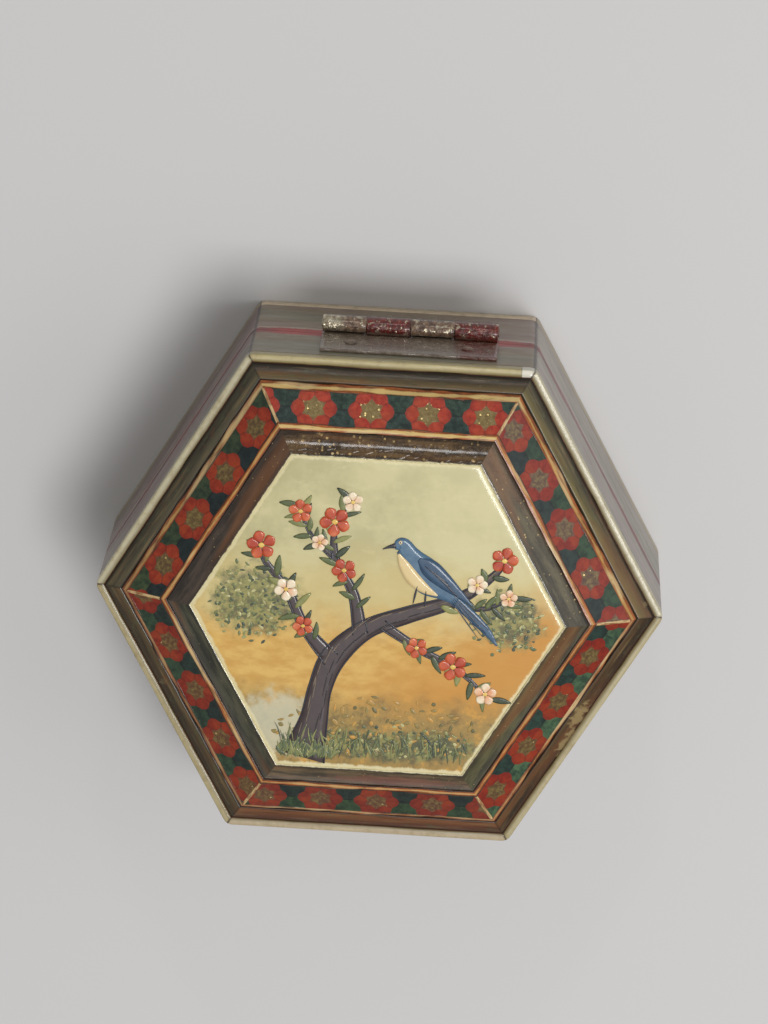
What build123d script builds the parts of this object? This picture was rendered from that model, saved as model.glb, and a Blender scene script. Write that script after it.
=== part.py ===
from build123d import *
import math
import os

# Small hexagonal hinged box with a raised, inlaid lid.
# Millimetres, Z up. Origin at the centre of the underside. The hinge is on the +Y side.

# Overall form: a regular hexagon with two corners on the X axis
APOTHEM = 28.0
BASE_HEIGHT = 13.9
SEAM_GAP = 0.10
LID_SIDE_HEIGHT = 11.1
SIDES = 6
STEP_ANGLE = 360 / SIDES
MITRE = math.tan(math.radians(STEP_ANGLE / 2))

# Carcase boards and side veneers; the outer corners are rubbed round
CORNER_RADIUS = 1.5
VENEER = 0.40
WALL = 2.6
FLOOR = 2.5
LID_BOARD = 3.0

# Bone strips on the arrises: width across the end face, height down the side
BONE_WIDTH = 0.90
LID_BONE_HEIGHT = 1.5
BASE_BONE_HEIGHT = 2.0
# The lid's back strip is pieced out at its right end with a short block
END_BLOCK = 1.6

# Lid relief: inset from the side face and height above the arris
BORDER_INSET = 2.70
BORDER_RISE = 1.00
BORDER_SWELL = 0.15
STRING_MIDDLE_INSET = 3.00
STRING_MIDDLE_RISE = 1.50
KHATAM_INSET = 3.30
KHATAM_RISE = 2.00
KHATAM_THICKNESS = 0.60
INNER_STRING_INSET = 6.70
INNER_STRING_RISE = 4.15
MOULDING_INSET = 7.30
MOULDING_RISE = 4.35
MOULDING_SWELL = 0.16
PANEL_INSET = 9.75
PANEL_RISE = 6.05
PANEL_THICKNESS = 0.80
PANEL_CHAMFER = 0.25

# Khatam pattern along each slice
ROSETTE_PITCH = 6.40
LOBES = 6
LOBE_RADIUS = 2.62
LOBE_SHOULDER_RADIUS = 2.50
LOBE_SHOULDER_ANGLE = 13
NOTCH_RADIUS = 2.14
STAR_OUTER = 1.50
STAR_INNER = 1.00
MITRE_LINE = 0.18
# Where the slice happened to start on each side, as a part of the pitch,
# from the back side turning towards -X
SLICE_START = (0.31, 0.40, -0.10, 0.15, 0.32, -0.16)
ROSETTES_EACH_WAY = 3

# Surface hinge
KNUCKLES = 4
KNUCKLE_LENGTH = 4.95
KNUCKLE_GAP = 0.06
KNUCKLE_RADIUS = 1.05
BARREL_OFFSET = 1.20
LEAF_THICKNESS = 0.40
LEAF_HEIGHT = 8.2
HINGE_SHIFT = 1.7
PIN_RADIUS = 0.45
PIN_CLEARANCE = 0.04
PIN_OVERHANG = 0.12
NOTCH_CLEARANCE = 0.12
BRAD_SPREAD = 6.6
BRAD_HEIGHT = 5.2
BRAD_SHANK_RADIUS = 0.30
BRAD_HEAD_RADIUS = 0.65
BRAD_HEAD_HEIGHT = 0.30
BRAD_HEAD_CHAMFER = 0.15
BRAD_LENGTH = 2.6
BRAD_CLEARANCE = 0.02

# Places worked out from the sizes above
CORE_APOTHEM = APOTHEM - VENEER
INNER_APOTHEM = CORE_APOTHEM - WALL
LID_BOTTOM = BASE_HEIGHT + SEAM_GAP
LID_ARRIS = LID_BOTTOM + LID_SIDE_HEIGHT
LID_WALL_TOP = LID_ARRIS - LID_BOARD
CROWN_EDGE = KHATAM_RISE - KHATAM_THICKNESS
CROWN_TOP = PANEL_RISE - PANEL_THICKNESS
HINGE_Z = BASE_HEIGHT + SEAM_GAP / 2
HINGE_Y = APOTHEM + BARREL_OFFSET
HINGE_LENGTH = KNUCKLES * KNUCKLE_LENGTH + (KNUCKLES - 1) * KNUCKLE_GAP
SIDE_NAMES = ("back", "back_left", "front_left", "front", "front_right", "back_right")


def bevel_height(inset):
    """Height of the crown block's bevel above the arris at an inset from the side."""
    part = (inset - KHATAM_INSET) / (PANEL_INSET - KHATAM_INSET)
    return CROWN_EDGE + part * (CROWN_TOP - CROWN_EDGE)


def hexagon(apothem, bottom, top):
    """Upright hexagonal prism."""
    corner = apothem / math.cos(math.radians(STEP_ANGLE / 2))
    outline = RegularPolygon(corner, SIDES)
    return Pos(0, 0, bottom) * extrude(outline, top - bottom)


def section_bar(section):
    """Straight bar on the back side from (distance from the axis, height) points."""
    outline = make_face(Polyline(*section, close=True))
    half = APOTHEM
    return Pos(-half, 0, 0) * extrude(Plane.YZ * outline, 2 * half)


def back_wedge(short):
    """Sector of the hexagon that belongs to the back side, each end short of its mitre."""
    tip = short / math.sin(math.radians(STEP_ANGLE / 2))
    reach = APOTHEM + 1
    half = (reach - tip) * MITRE
    outline = make_face(Polyline((0, tip), (half, reach), (-half, reach), close=True))
    return extrude(outline, LID_ARRIS + PANEL_RISE + 1)


def mitred(section, short=0.0):
    """Bar on the back side with both ends cut parallel to the mitre."""
    return section_bar(section) & back_wedge(short)


def relief(points):
    """Section points given as inset and height above the lid's arris."""
    return [(APOTHEM - inset, LID_ARRIS + height) for inset, height in points]


def around(bar):
    """The back side's piece repeated on all six sides."""
    return [Rot(0, 0, index * STEP_ANGLE) * bar for index in range(SIDES)]


def rubbed_corners(bar):
    """Bar kept within the rounded outer corners of the box."""
    block = hexagon(APOTHEM, 0, LID_ARRIS)
    return bar & fillet(block.edges().filter_by(Axis.Z), CORNER_RADIUS)


def brad_axis(side, height):
    """Place of one brad, its head outwards along +Y."""
    face = Location((HINGE_SHIFT + side * BRAD_SPREAD, APOTHEM + LEAF_THICKNESS, height), (-90, 0, 0))
    return face


def brad_holes(height, radius):
    """Two round holes through leaf, veneer and wall."""
    depth = BRAD_LENGTH + LEAF_THICKNESS
    hole = Cylinder(radius, depth + 1, align=(Align.CENTER, Align.CENTER, Align.MAX))
    return [brad_axis(side, height) * Pos(0, 0, 1) * hole for side in (-1, 1)]


def brads(height):
    """Two brads with an eased round head on the leaf."""
    pair = []
    for side in (-1, 1):
        shank = Cylinder(BRAD_SHANK_RADIUS, BRAD_LENGTH, align=(Align.CENTER, Align.CENTER, Align.MAX))
        head = Cylinder(BRAD_HEAD_RADIUS, BRAD_HEAD_HEIGHT, align=(Align.CENTER, Align.CENTER, Align.MIN))
        head = chamfer(head.edges().group_by(Axis.Z)[-1], BRAD_HEAD_CHAMFER)
        pair.append(brad_axis(side, height) * (head + shank))
    return pair


def wall_section(bottom, top, rebate_bottom):
    """Wall board section; the base's wall has a rebate for its bone strip."""
    if not rebate_bottom:
        return [(INNER_APOTHEM, bottom), (CORE_APOTHEM, bottom), (CORE_APOTHEM, top), (INNER_APOTHEM, top)]
    shoulder = APOTHEM - BONE_WIDTH
    return [
        (INNER_APOTHEM, bottom),
        (shoulder, bottom),
        (shoulder, bottom + BASE_BONE_HEIGHT),
        (CORE_APOTHEM, bottom + BASE_BONE_HEIGHT),
        (CORE_APOTHEM, top),
        (INNER_APOTHEM, top),
    ]


def walls(prefix, section, brad_height):
    """Six mitred wall boards, the back one drilled for the hinge brads."""
    parts = {}
    for index, bar in enumerate(around(mitred(section))):
        if index == 0:
            bar = bar - brad_holes(brad_height, BRAD_SHANK_RADIUS + BRAD_CLEARANCE)
        parts[prefix + SIDE_NAMES[index]] = [bar]
    return parts


def veneers(bottom, top, brad_height):
    """Six thin side veneers, the back one drilled for the hinge brads."""
    section = [(CORE_APOTHEM, bottom), (APOTHEM, bottom), (APOTHEM, top), (CORE_APOTHEM, top)]
    bars = around(rubbed_corners(mitred(section)))
    bars[0] = bars[0] - brad_holes(brad_height, BRAD_SHANK_RADIUS + BRAD_CLEARANCE)
    return bars


def bone_strips(bottom, top):
    """Square-edged bone strips let into the arris."""
    inner = APOTHEM - BONE_WIDTH
    section = [(inner, bottom), (APOTHEM, bottom), (APOTHEM, top), (inner, top)]
    return around(rubbed_corners(mitred(section)))


def lid_bone_strips():
    """Bone strips of the lid, the back one in two lengths."""
    strips = bone_strips(LID_ARRIS - LID_BONE_HEIGHT, LID_ARRIS)
    corner = APOTHEM * MITRE
    cutter = Box(corner, APOTHEM, LID_ARRIS, align=(Align.MIN, Align.CENTER, Align.MIN))
    right_end = Pos(corner - END_BLOCK, APOTHEM, 0) * cutter
    return [strips[0] - right_end, strips[0] & right_end, *strips[1:]]


def lid_board():
    """Hexagonal board on the lid walls, rebated for the bone strips."""
    lower = hexagon(CORE_APOTHEM, LID_WALL_TOP, LID_ARRIS - LID_BONE_HEIGHT)
    upper = hexagon(APOTHEM - BONE_WIDTH, LID_ARRIS - LID_BONE_HEIGHT, LID_ARRIS)
    return lower + upper


def crown_block():
    """Raised block with a plain bevel all round for the inlay."""
    foot = hexagon(APOTHEM - KHATAM_INSET, LID_ARRIS, LID_ARRIS + CROWN_EDGE)
    rise = CROWN_TOP - CROWN_EDGE
    lean = math.degrees(math.atan2(PANEL_INSET - KHATAM_INSET, rise))
    corner = (APOTHEM - KHATAM_INSET) / math.cos(math.radians(STEP_ANGLE / 2))
    bevelled = extrude(RegularPolygon(corner, SIDES), rise, taper=lean)
    return foot + Pos(0, 0, LID_ARRIS + CROWN_EDGE) * bevelled


def border_strips():
    """Dark strips with a slightly rounded back between bone and stringing."""
    middle = (BONE_WIDTH + BORDER_INSET) / 2
    points = [
        (BONE_WIDTH, 0),
        (middle, BORDER_RISE / 2 + BORDER_SWELL),
        (BORDER_INSET, BORDER_RISE),
        (BORDER_INSET, 0),
    ]
    return around(mitred(relief(points)))


def amber_stringing():
    """Outer line of the double stringing."""
    points = [
        (BORDER_INSET, 0),
        (BORDER_INSET, BORDER_RISE),
        (STRING_MIDDLE_INSET, STRING_MIDDLE_RISE),
        (STRING_MIDDLE_INSET, 0),
    ]
    return around(mitred(relief(points)))


def pale_stringing():
    """Inner line of the double stringing, against the khatam slice."""
    points = [
        (STRING_MIDDLE_INSET, 0),
        (STRING_MIDDLE_INSET, STRING_MIDDLE_RISE),
        (KHATAM_INSET, KHATAM_RISE),
        (KHATAM_INSET, 0),
    ]
    return around(mitred(relief(points)))


def inner_stringing():
    """Pale line between khatam and moulding."""
    points = [
        (INNER_STRING_INSET, bevel_height(INNER_STRING_INSET)),
        (INNER_STRING_INSET, INNER_STRING_RISE),
        (MOULDING_INSET, MOULDING_RISE),
        (MOULDING_INSET, bevel_height(MOULDING_INSET)),
    ]
    return around(mitred(relief(points)))


def inner_mouldings():
    """Dark mouldings with a rounded back, rising to the panel."""
    middle = (MOULDING_INSET + PANEL_INSET) / 2
    rise = (MOULDING_RISE + PANEL_RISE) / 2 + MOULDING_SWELL
    points = [
        (MOULDING_INSET, bevel_height(MOULDING_INSET)),
        (MOULDING_INSET, MOULDING_RISE),
        (middle, rise),
        (PANEL_INSET, PANEL_RISE),
        (PANEL_INSET, CROWN_TOP),
    ]
    return around(mitred(relief(points)))


def painted_panel():
    """Thin hexagonal plate with its upper edge eased."""
    plate = hexagon(APOTHEM - PANEL_INSET, LID_ARRIS + CROWN_TOP, LID_ARRIS + PANEL_RISE)
    return chamfer(plate.edges().group_by(Axis.Z)[-1], PANEL_CHAMFER)


def slice_plane(index):
    """Plane of one khatam slice: x along the side, y up the slope."""
    low_y = APOTHEM - KHATAM_INSET
    high_y = APOTHEM - INNER_STRING_INSET
    middle = (0, (low_y + high_y) / 2, LID_ARRIS + (KHATAM_RISE + INNER_STRING_RISE) / 2)
    slope = (0, high_y - low_y, INNER_STRING_RISE - KHATAM_RISE)
    normal = (0, slope[2], -slope[1])
    plane = Plane(origin=middle, x_dir=(-1, 0, 0), z_dir=normal)
    return Rot(0, 0, index * STEP_ANGLE) * plane.location


def slice_width():
    """Width of a khatam slice measured up the slope."""
    return math.hypot(INNER_STRING_INSET - KHATAM_INSET, INNER_STRING_RISE - KHATAM_RISE)


def through(outline):
    """Prism through the whole thickness of a slice."""
    return extrude(outline, KHATAM_THICKNESS * 3, both=True)


def ring_outline(spokes):
    """Flat outline through (degrees, radius) spokes repeated for each of the six lobes."""
    corners = []
    for lobe in range(LOBES):
        for degrees, radius in spokes:
            angle = math.radians(lobe * 360 / LOBES + degrees)
            corners.append((radius * math.cos(angle), radius * math.sin(angle)))
    return make_face(Polyline(*corners, close=True))


def rosette_prism():
    """Rosette of six rounded lobes, two of them pointing along the slice."""
    spokes = [
        (-LOBE_SHOULDER_ANGLE, LOBE_SHOULDER_RADIUS),
        (0, LOBE_RADIUS),
        (LOBE_SHOULDER_ANGLE, LOBE_SHOULDER_RADIUS),
        (180 / LOBES, NOTCH_RADIUS),
    ]
    # The upper and lower notch lie past the edges of the slice, so they are filled
    beside_notch = math.radians(90 - 360 / LOBES - LOBE_SHOULDER_ANGLE)
    across = Rectangle(2 * LOBE_SHOULDER_RADIUS * math.sin(beside_notch), 2 * LOBE_RADIUS)
    return through(ring_outline(spokes) + across)


def star_prism():
    """Six-pointed star whose points look at the notches of the rosette."""
    return through(ring_outline([(0, STAR_INNER), (180 / LOBES, STAR_OUTER)]))


def slice_section(outer_inset, inner_inset):
    """Section of a khatam slice between two insets, on the crown block's bevel."""
    slope = (INNER_STRING_RISE - KHATAM_RISE) / (INNER_STRING_INSET - KHATAM_INSET)
    outer_top = KHATAM_RISE + slope * (outer_inset - KHATAM_INSET)
    inner_top = KHATAM_RISE + slope * (inner_inset - KHATAM_INSET)
    return relief([
        (outer_inset, bevel_height(outer_inset)),
        (outer_inset, outer_top),
        (inner_inset, inner_top),
        (inner_inset, bevel_height(inner_inset)),
    ])


def mitre_stringing():
    """Pale line across each end of each khatam slice."""
    section = slice_section(KHATAM_INSET, INNER_STRING_INSET)
    pair = mitred(section) - mitred(section, MITRE_LINE)
    return [Rot(0, 0, index * STEP_ANGLE) * pair for index in range(SIDES)]


def rosette_places(index):
    """Places of the rosettes along one side's slice."""
    counts = range(-ROSETTES_EACH_WAY, ROSETTES_EACH_WAY + 1)
    shifts = [(count + SLICE_START[index]) * ROSETTE_PITCH for count in counts]
    return [slice_plane(index) * Pos(shift, 0, 0) for shift in shifts]


def solids_of(shape):
    """Separate solids of a cut or a common part, none if it came out empty."""
    return list(shape.solids()) if shape else []


def khatam():
    """Green wedges, rosettes and stars of all six slices, each flush with its neighbours."""
    middle = (KHATAM_INSET + INNER_STRING_INSET) / 2
    whole = around(mitred(slice_section(KHATAM_INSET, INNER_STRING_INSET), MITRE_LINE))
    outer = around(mitred(slice_section(KHATAM_INSET, middle), MITRE_LINE))
    inner = around(mitred(slice_section(middle, INNER_STRING_INSET), MITRE_LINE))
    parts = {"outer": [], "inner": [], "rosettes": [], "stars": []}
    lobed = rosette_prism()
    pointed = star_prism()
    for index in range(SIDES):
        places = [place for place in rosette_places(index) if solids_of(whole[index] & (place * lobed))]
        cutters = [place * lobed for place in places]
        parts["outer"] += solids_of(outer[index] - cutters)
        parts["inner"] += solids_of(inner[index] - cutters)
        for place in places:
            tile = whole[index] & (place * lobed)
            parts["stars"] += solids_of(tile & (place * pointed))
            parts["rosettes"] += solids_of(tile - (place * pointed))
    return parts


def knuckle_spans(own):
    """Start and end along X of the knuckles of one leaf: even ones are the lid's."""
    left = HINGE_SHIFT - HINGE_LENGTH / 2
    spans = []
    for index in range(KNUCKLES):
        start = left + index * (KNUCKLE_LENGTH + KNUCKLE_GAP)
        if index % 2 == own:
            spans.append((start, start + KNUCKLE_LENGTH))
    return spans


def bar_between(start, end, radius):
    """Round bar along X on the hinge axis."""
    rod = Cylinder(radius, end - start, rotation=(0, 90, 0))
    return Pos((start + end) / 2, HINGE_Y, HINGE_Z) * rod


def hinge_leaf(own, upwards):
    """Sheet leaf on the back with its rolled knuckles, notched for the other leaf's."""
    left = HINGE_SHIFT - HINGE_LENGTH / 2
    sheet = Box(HINGE_LENGTH, LEAF_THICKNESS, LEAF_HEIGHT, align=(Align.MIN, Align.MIN, Align.MIN))
    leaf = Pos(left, APOTHEM, HINGE_Z if upwards else HINGE_Z - LEAF_HEIGHT) * sheet
    for start, end in knuckle_spans(1 - own):
        notch = bar_between(start - KNUCKLE_GAP, end + KNUCKLE_GAP, KNUCKLE_RADIUS + NOTCH_CLEARANCE)
        leaf = leaf - notch
    for start, end in knuckle_spans(own):
        leaf = leaf + bar_between(start, end, KNUCKLE_RADIUS)
    bore = bar_between(left - 1, left + HINGE_LENGTH + 1, PIN_RADIUS + PIN_CLEARANCE)
    leaf = leaf - bore
    height = HINGE_Z + BRAD_HEIGHT if upwards else HINGE_Z - BRAD_HEIGHT
    return leaf - brad_holes(height, BRAD_SHANK_RADIUS + BRAD_CLEARANCE)


def hinge_pin():
    """Wire pin through all knuckles, a little proud at both ends."""
    left = HINGE_SHIFT - HINGE_LENGTH / 2
    return bar_between(left - PIN_OVERHANG, left + HINGE_LENGTH + PIN_OVERHANG, PIN_RADIUS)


def build():
    """All nodes by name, each a list of separate solids."""
    low_brads = HINGE_Z - BRAD_HEIGHT
    high_brads = HINGE_Z + BRAD_HEIGHT
    parts = {"base_floor": [hexagon(INNER_APOTHEM, 0, FLOOR)]}
    parts.update(walls("base_wall_", wall_section(0, BASE_HEIGHT, True), low_brads))
    parts["base_veneers"] = veneers(BASE_BONE_HEIGHT, BASE_HEIGHT, low_brads)
    parts["base_bone_strips"] = bone_strips(0, BASE_BONE_HEIGHT)
    parts["hinge_leaf_base"] = [hinge_leaf(1, False)]
    parts["hinge_brads_base"] = brads(low_brads)
    parts["hinge_pin"] = [hinge_pin()]
    parts.update(walls("lid_wall_", wall_section(LID_BOTTOM, LID_WALL_TOP, False), high_brads))
    parts["lid_board"] = [lid_board()]
    parts["lid_crown_block"] = [crown_block()]
    parts["lid_veneers"] = veneers(LID_BOTTOM, LID_ARRIS - LID_BONE_HEIGHT, high_brads)
    parts["lid_bone_strips"] = lid_bone_strips()
    parts["lid_border_strips"] = border_strips()
    parts["outer_stringing_amber"] = amber_stringing()
    parts["outer_stringing_pale"] = pale_stringing()
    mosaic = khatam()
    parts["khatam_wedges_outer"] = mosaic["outer"]
    parts["khatam_wedges_inner"] = mosaic["inner"]
    parts["khatam_rosettes"] = mosaic["rosettes"]
    parts["khatam_stars"] = mosaic["stars"]
    parts["mitre_stringing"] = mitre_stringing()
    parts["inner_stringing"] = inner_stringing()
    parts["inner_mouldings"] = inner_mouldings()
    parts["painted_panel"] = [painted_panel()]
    parts["hinge_leaf_lid"] = [hinge_leaf(0, True)]
    parts["hinge_brads_lid"] = brads(high_brads)
    return parts


os.makedirs("parts", exist_ok=True)
for node, solids in build().items():
    pieces = [solid for shape in solids for solid in shape.solids()]
    export_step(pieces[0] if len(pieces) == 1 else Compound(children=pieces), f"parts/{node}.step")
    print(node, len(pieces), "solids")
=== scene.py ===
# %% [markdown]
# # A small hexagonal khatam box
# The box is a six-sided hinged trinket box with a raised lid. The carcase, strips, mosaic
# pieces and hinge come as solids in one fixed frame, in metres, with Z up, the hinge on the
# +Y side and the underside at height 0. This lesson gives each of them its finish, adds the
# painting and the rolled hinge, and lights the box plainly.

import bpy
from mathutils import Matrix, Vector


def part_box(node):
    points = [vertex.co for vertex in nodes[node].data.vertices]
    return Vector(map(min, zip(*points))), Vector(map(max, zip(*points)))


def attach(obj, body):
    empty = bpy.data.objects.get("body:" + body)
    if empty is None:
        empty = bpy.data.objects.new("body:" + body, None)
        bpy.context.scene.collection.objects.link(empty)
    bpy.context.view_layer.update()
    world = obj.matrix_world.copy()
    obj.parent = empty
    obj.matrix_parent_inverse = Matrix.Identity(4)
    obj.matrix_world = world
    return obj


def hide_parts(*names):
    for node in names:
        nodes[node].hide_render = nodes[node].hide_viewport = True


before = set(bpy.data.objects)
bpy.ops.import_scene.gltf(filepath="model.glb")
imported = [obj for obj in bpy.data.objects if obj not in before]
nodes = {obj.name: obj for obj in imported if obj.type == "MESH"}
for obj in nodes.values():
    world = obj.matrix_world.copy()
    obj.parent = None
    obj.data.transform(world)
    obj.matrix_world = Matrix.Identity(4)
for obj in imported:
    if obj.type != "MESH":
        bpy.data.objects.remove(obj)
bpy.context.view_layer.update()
print("pieces in the frame:", len(nodes))

# %% Modules and the box's own measures
import math

import bpy
import numpy as np
from mathutils import Matrix

MM = 0.001
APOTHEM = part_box("lid_bone_strips")[1][1] / MM
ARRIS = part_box("lid_bone_strips")[1][2] / MM
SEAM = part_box("base_veneers")[1][2] / MM
PANEL_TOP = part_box("painted_panel")[1][2] / MM
PANEL_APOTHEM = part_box("painted_panel")[1][1] / MM
PANEL_INSET = APOTHEM - PANEL_APOTHEM
SIXTH = math.pi / 3
MITRE = math.tan(SIXTH / 2)
SIDES = np.arange(6)
print("apothem", round(APOTHEM, 2), "arris", round(ARRIS, 2), "seam", round(SEAM, 2))

# %% [markdown]
# ## Camera
# The photograph looks down on the lid from about 60 cm, a little from the hinge side and
# from the right, with a long lens. A camera could be aimed by eye, but the straight edges
# of the hexagon fix it: lens place, the point it looks at, and a small turn about the
# viewing axis are kept here as plain sizes.

# %% Camera
CAMERA_PLACE = np.array((10.5, 177.3, 595.8)) * MM
CAMERA_TARGET = np.array((0.0, 10.5, 25.1)) * MM
CAMERA_TURN = math.radians(3.1)
FOCAL_PIXELS = 5268.0
IMAGE_HEIGHT = 1024


def camera_axes(place, target, turn):
    """Columns right, up and back of a camera that looks from place to target, +Y roughly up."""
    back = (place - target) / np.linalg.norm(place - target)
    right = np.cross((0.0, 1.0, 0.0), back)
    right /= np.linalg.norm(right)
    up = np.cross(back, right)
    c, s = math.cos(turn), math.sin(turn)
    return np.column_stack((c * right + s * up, c * up - s * right, back))


def stand_at(thing, place, target, turn=0.0):
    """Puts a camera or lamp at a place, looking at a target."""
    pose = np.eye(4)
    pose[:3, :3] = camera_axes(np.array(place), np.array(target), turn)
    pose[:3, 3] = place
    thing.matrix_world = Matrix(pose.tolist())
    bpy.context.scene.collection.objects.link(thing)


lens = bpy.data.cameras.new("camera")
lens.sensor_fit = "VERTICAL"
lens.sensor_height = 24.0
lens.lens = FOCAL_PIXELS * lens.sensor_height / IMAGE_HEIGHT
lens.clip_start = 0.01
camera = bpy.data.objects.new("camera", lens)
stand_at(camera, CAMERA_PLACE, CAMERA_TARGET, CAMERA_TURN)
bpy.context.scene.camera = camera
print("focal length", round(lens.lens, 1), "mm on a", lens.sensor_height, "mm high frame")

# %% [markdown]
# ## Light and floor
# The photograph has one hard flash. Here a large soft lamp stands to the right of the lens,
# so that the shadow falls on the same side, a small one lights the hinge side, and a weak
# fill and a pale surround give the gloss something to mirror. Their strengths are set so
# that a colour renders about as it is written.

# %% Lamps, surround and floor
LAMPS = {  # place in metres, side of the square, power in watts
    "key_lamp": ((0.15, -0.04, 0.66), 0.22, 2.65),
    "hinge_side_lamp": ((-0.01, 0.56, 0.41), 0.055, 0.16),
    "fill_lamp": ((0.55, 0.05, 0.35), 0.50, 0.8),
}
MIDDLE_OF_BOX = (0.0, 0.0, 0.015)

for name, (place, size, power) in LAMPS.items():
    light = bpy.data.lights.new(name, "AREA")
    light.size = size
    light.energy = power
    stand_at(bpy.data.objects.new(name, light), place, MIDDLE_OF_BOX)

world = bpy.data.worlds.new("surround")
bpy.context.scene.world = world
world.use_nodes = True
world.node_tree.nodes["Background"].inputs["Color"].default_value = (0.80, 0.79, 0.77, 1.0)
world.node_tree.nodes["Background"].inputs["Strength"].default_value = 0.42
bpy.context.scene.view_settings.view_transform = "Standard"

FLOOR_HALF = 1.2
corners = np.array(((-1, -1, 0), (1, -1, 0), (1, 1, 0), (-1, 1, 0))) * FLOOR_HALF
floor_mesh = bpy.data.meshes.new("floor")
floor_mesh.from_pydata(corners.tolist(), [], [(0, 1, 2, 3)])
floor = bpy.data.objects.new("floor", floor_mesh)
bpy.context.scene.collection.objects.link(floor)
print("lamps", len(LAMPS), "and a floor", 2 * FLOOR_HALF, "m wide")

# %% [markdown]
# ## Small helpers for node trees
# Every finish below is a network of nodes. Wiring them by hand takes many lines, so a
# node's output is wrapped as a Value, and a sum, a product or a smooth step of Values puts
# down the Math node for it. Colours are written as they look on a screen, from 0 to 255.

# %% Nodes and values
def tint(red, green, blue):
    """Screen colour 0 to 255 as the linear colour that Blender mixes, with full alpha."""
    channel = np.array((red, green, blue)) / 255.0
    linear = np.where(channel <= 0.04045, channel / 12.92, ((channel + 0.055) / 1.055) ** 2.4)
    return (*linear.tolist(), 1.0)


def fill(socket, value):
    """Joins a Value to a socket, or sets the socket to a number or a screen colour."""
    if isinstance(value, Value):
        value.tree.links.new(value.socket, socket)
    elif value is not None:
        socket.default_value = tint(*value) if socket.type == "RGBA" else value


def put(tree, kind, inputs=(), output=0, **settings):
    """One node with its settings and its inputs, by name or place, as the Value it puts out."""
    node = tree.nodes.new(kind)
    for key, value in settings.items():
        setattr(node, key, value)
    for key, value in inputs.items() if isinstance(inputs, dict) else enumerate(inputs):
        fill(node.inputs[key], value)
    return Value(node.outputs[output])


class Value:
    """A node's output, with which sums are written as with a number."""

    def __init__(self, socket):
        self.socket = socket
        self.tree = socket.id_data

    def calc(self, operation, *others):
        """A Math node on this value and up to two others."""
        return put(self.tree, "ShaderNodeMath", (self, *others), operation=operation)

    def __add__(self, other):
        return self.calc("ADD", other)

    def __sub__(self, other):
        return self.calc("SUBTRACT", other)

    def __rsub__(self, other):
        return put(self.tree, "ShaderNodeMath", (other, self), operation="SUBTRACT")

    def __mul__(self, other):
        return self.calc("MULTIPLY", other)

    def __truediv__(self, other):
        return self.calc("DIVIDE", other)

    def __abs__(self):
        return self.calc("ABSOLUTE")

    def band(self, low, high, start=0.0, end=1.0):
        """Smooth step from start to end while this value goes from low to high."""
        inputs = {"Value": self, "From Min": low, "From Max": high, "To Min": start, "To Max": end}
        return put(self.tree, "ShaderNodeMapRange", inputs, interpolation_type="SMOOTHSTEP")

    def cloud(self, scale, detail=3.0, roughness=0.5):
        """Noise from 0 to 1 at a scale per unit of this vector."""
        inputs = {"Vector": self, "Scale": scale, "Detail": detail, "Roughness": roughness}
        return put(self.tree, "ShaderNodeTexNoise", inputs)

    def scaled(self, factor):
        """This vector, a factor longer."""
        return put(self.tree, "ShaderNodeVectorMath", {0: self, 3: factor}, operation="SCALE")

    def parts(self):
        """The three numbers of this vector."""
        x = put(self.tree, "ShaderNodeSeparateXYZ", (self,))
        return x, x.beside(1), x.beside(2)

    def beside(self, output):
        """Another output of the node that this value comes from."""
        return Value(self.socket.node.outputs[output])

    def shades(self, colours, places, change="LINEAR"):
        """Colour ramp through the colours at places from 0 to 1."""
        colour = put(self.tree, "ShaderNodeValToRGB", (self,))
        ramp = colour.socket.node.color_ramp
        ramp.interpolation = change
        for index, (shade, where) in enumerate(zip(colours, places)):
            stop = ramp.elements[index] if index < 2 else ramp.elements.new(float(where))
            stop.position = where
            stop.color = tint(*shade)
        return colour


def vector_of(x, y, z):
    """Three values or numbers, the first of them a Value, as one vector."""
    return put(x.tree, "ShaderNodeCombineXYZ", (x, y, z))


def layered(base, *coats):
    """Base colour with coats over it, each a share from 0 to 1 and a colour."""
    for share, colour in coats:
        mixed = put(share.tree, "ShaderNodeMix", (), 2, data_type="RGBA")
        for index, value in ((0, share), (6, base), (7, colour)):
            fill(mixed.socket.node.inputs[index], value)
        base = mixed
    return base


print("helpers ready")

# %% [markdown]
# Effects that several finishes share are node groups. One routine makes a group: it sets up
# the sockets and lets a plain function work out the outputs from the inputs.

# %% Node groups
def make_group(name, inputs, outputs, work_out):
    """Shader node group; an input is a number with its usual value, or None for a vector."""
    tree = bpy.data.node_groups.new(name, "ShaderNodeTree")
    for label, usual in inputs.items():
        kind = "NodeSocketVector" if usual is None else "NodeSocketFloat"
        socket = tree.interface.new_socket(label, in_out="INPUT", socket_type=kind)
        if usual is not None:
            socket.default_value = usual
    for label in outputs:
        tree.interface.new_socket(label, in_out="OUTPUT", socket_type="NodeSocketFloat")
    given = tree.nodes.new("NodeGroupInput").outputs
    results = tree.nodes.new("NodeGroupOutput").inputs
    found = work_out(*[Value(given[label]) for label in inputs])
    for label, value in zip(outputs, found, strict=True):
        fill(results[label], value)
    print("group", name, "with", len(tree.nodes), "nodes")
    return tree


def use_group(tree, group, inputs):
    """A placed group's outputs, in their order."""
    node = tree.nodes.new("ShaderNodeGroup")
    node.node_tree = group
    for key, value in inputs.items():
        fill(node.inputs[key], value)
    return [Value(output) for output in node.outputs]


# %% [markdown]
# ## Where on the box am I?
# All six sides are alike, so every finish wants the same answers at a point: how far along
# its side it is, how far in from the side face, how high, and which of the six sides it
# belongs to. Six separate materials could each know their own side, but one node group that
# turns the point round to the hinge side answers for all of them.

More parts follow.
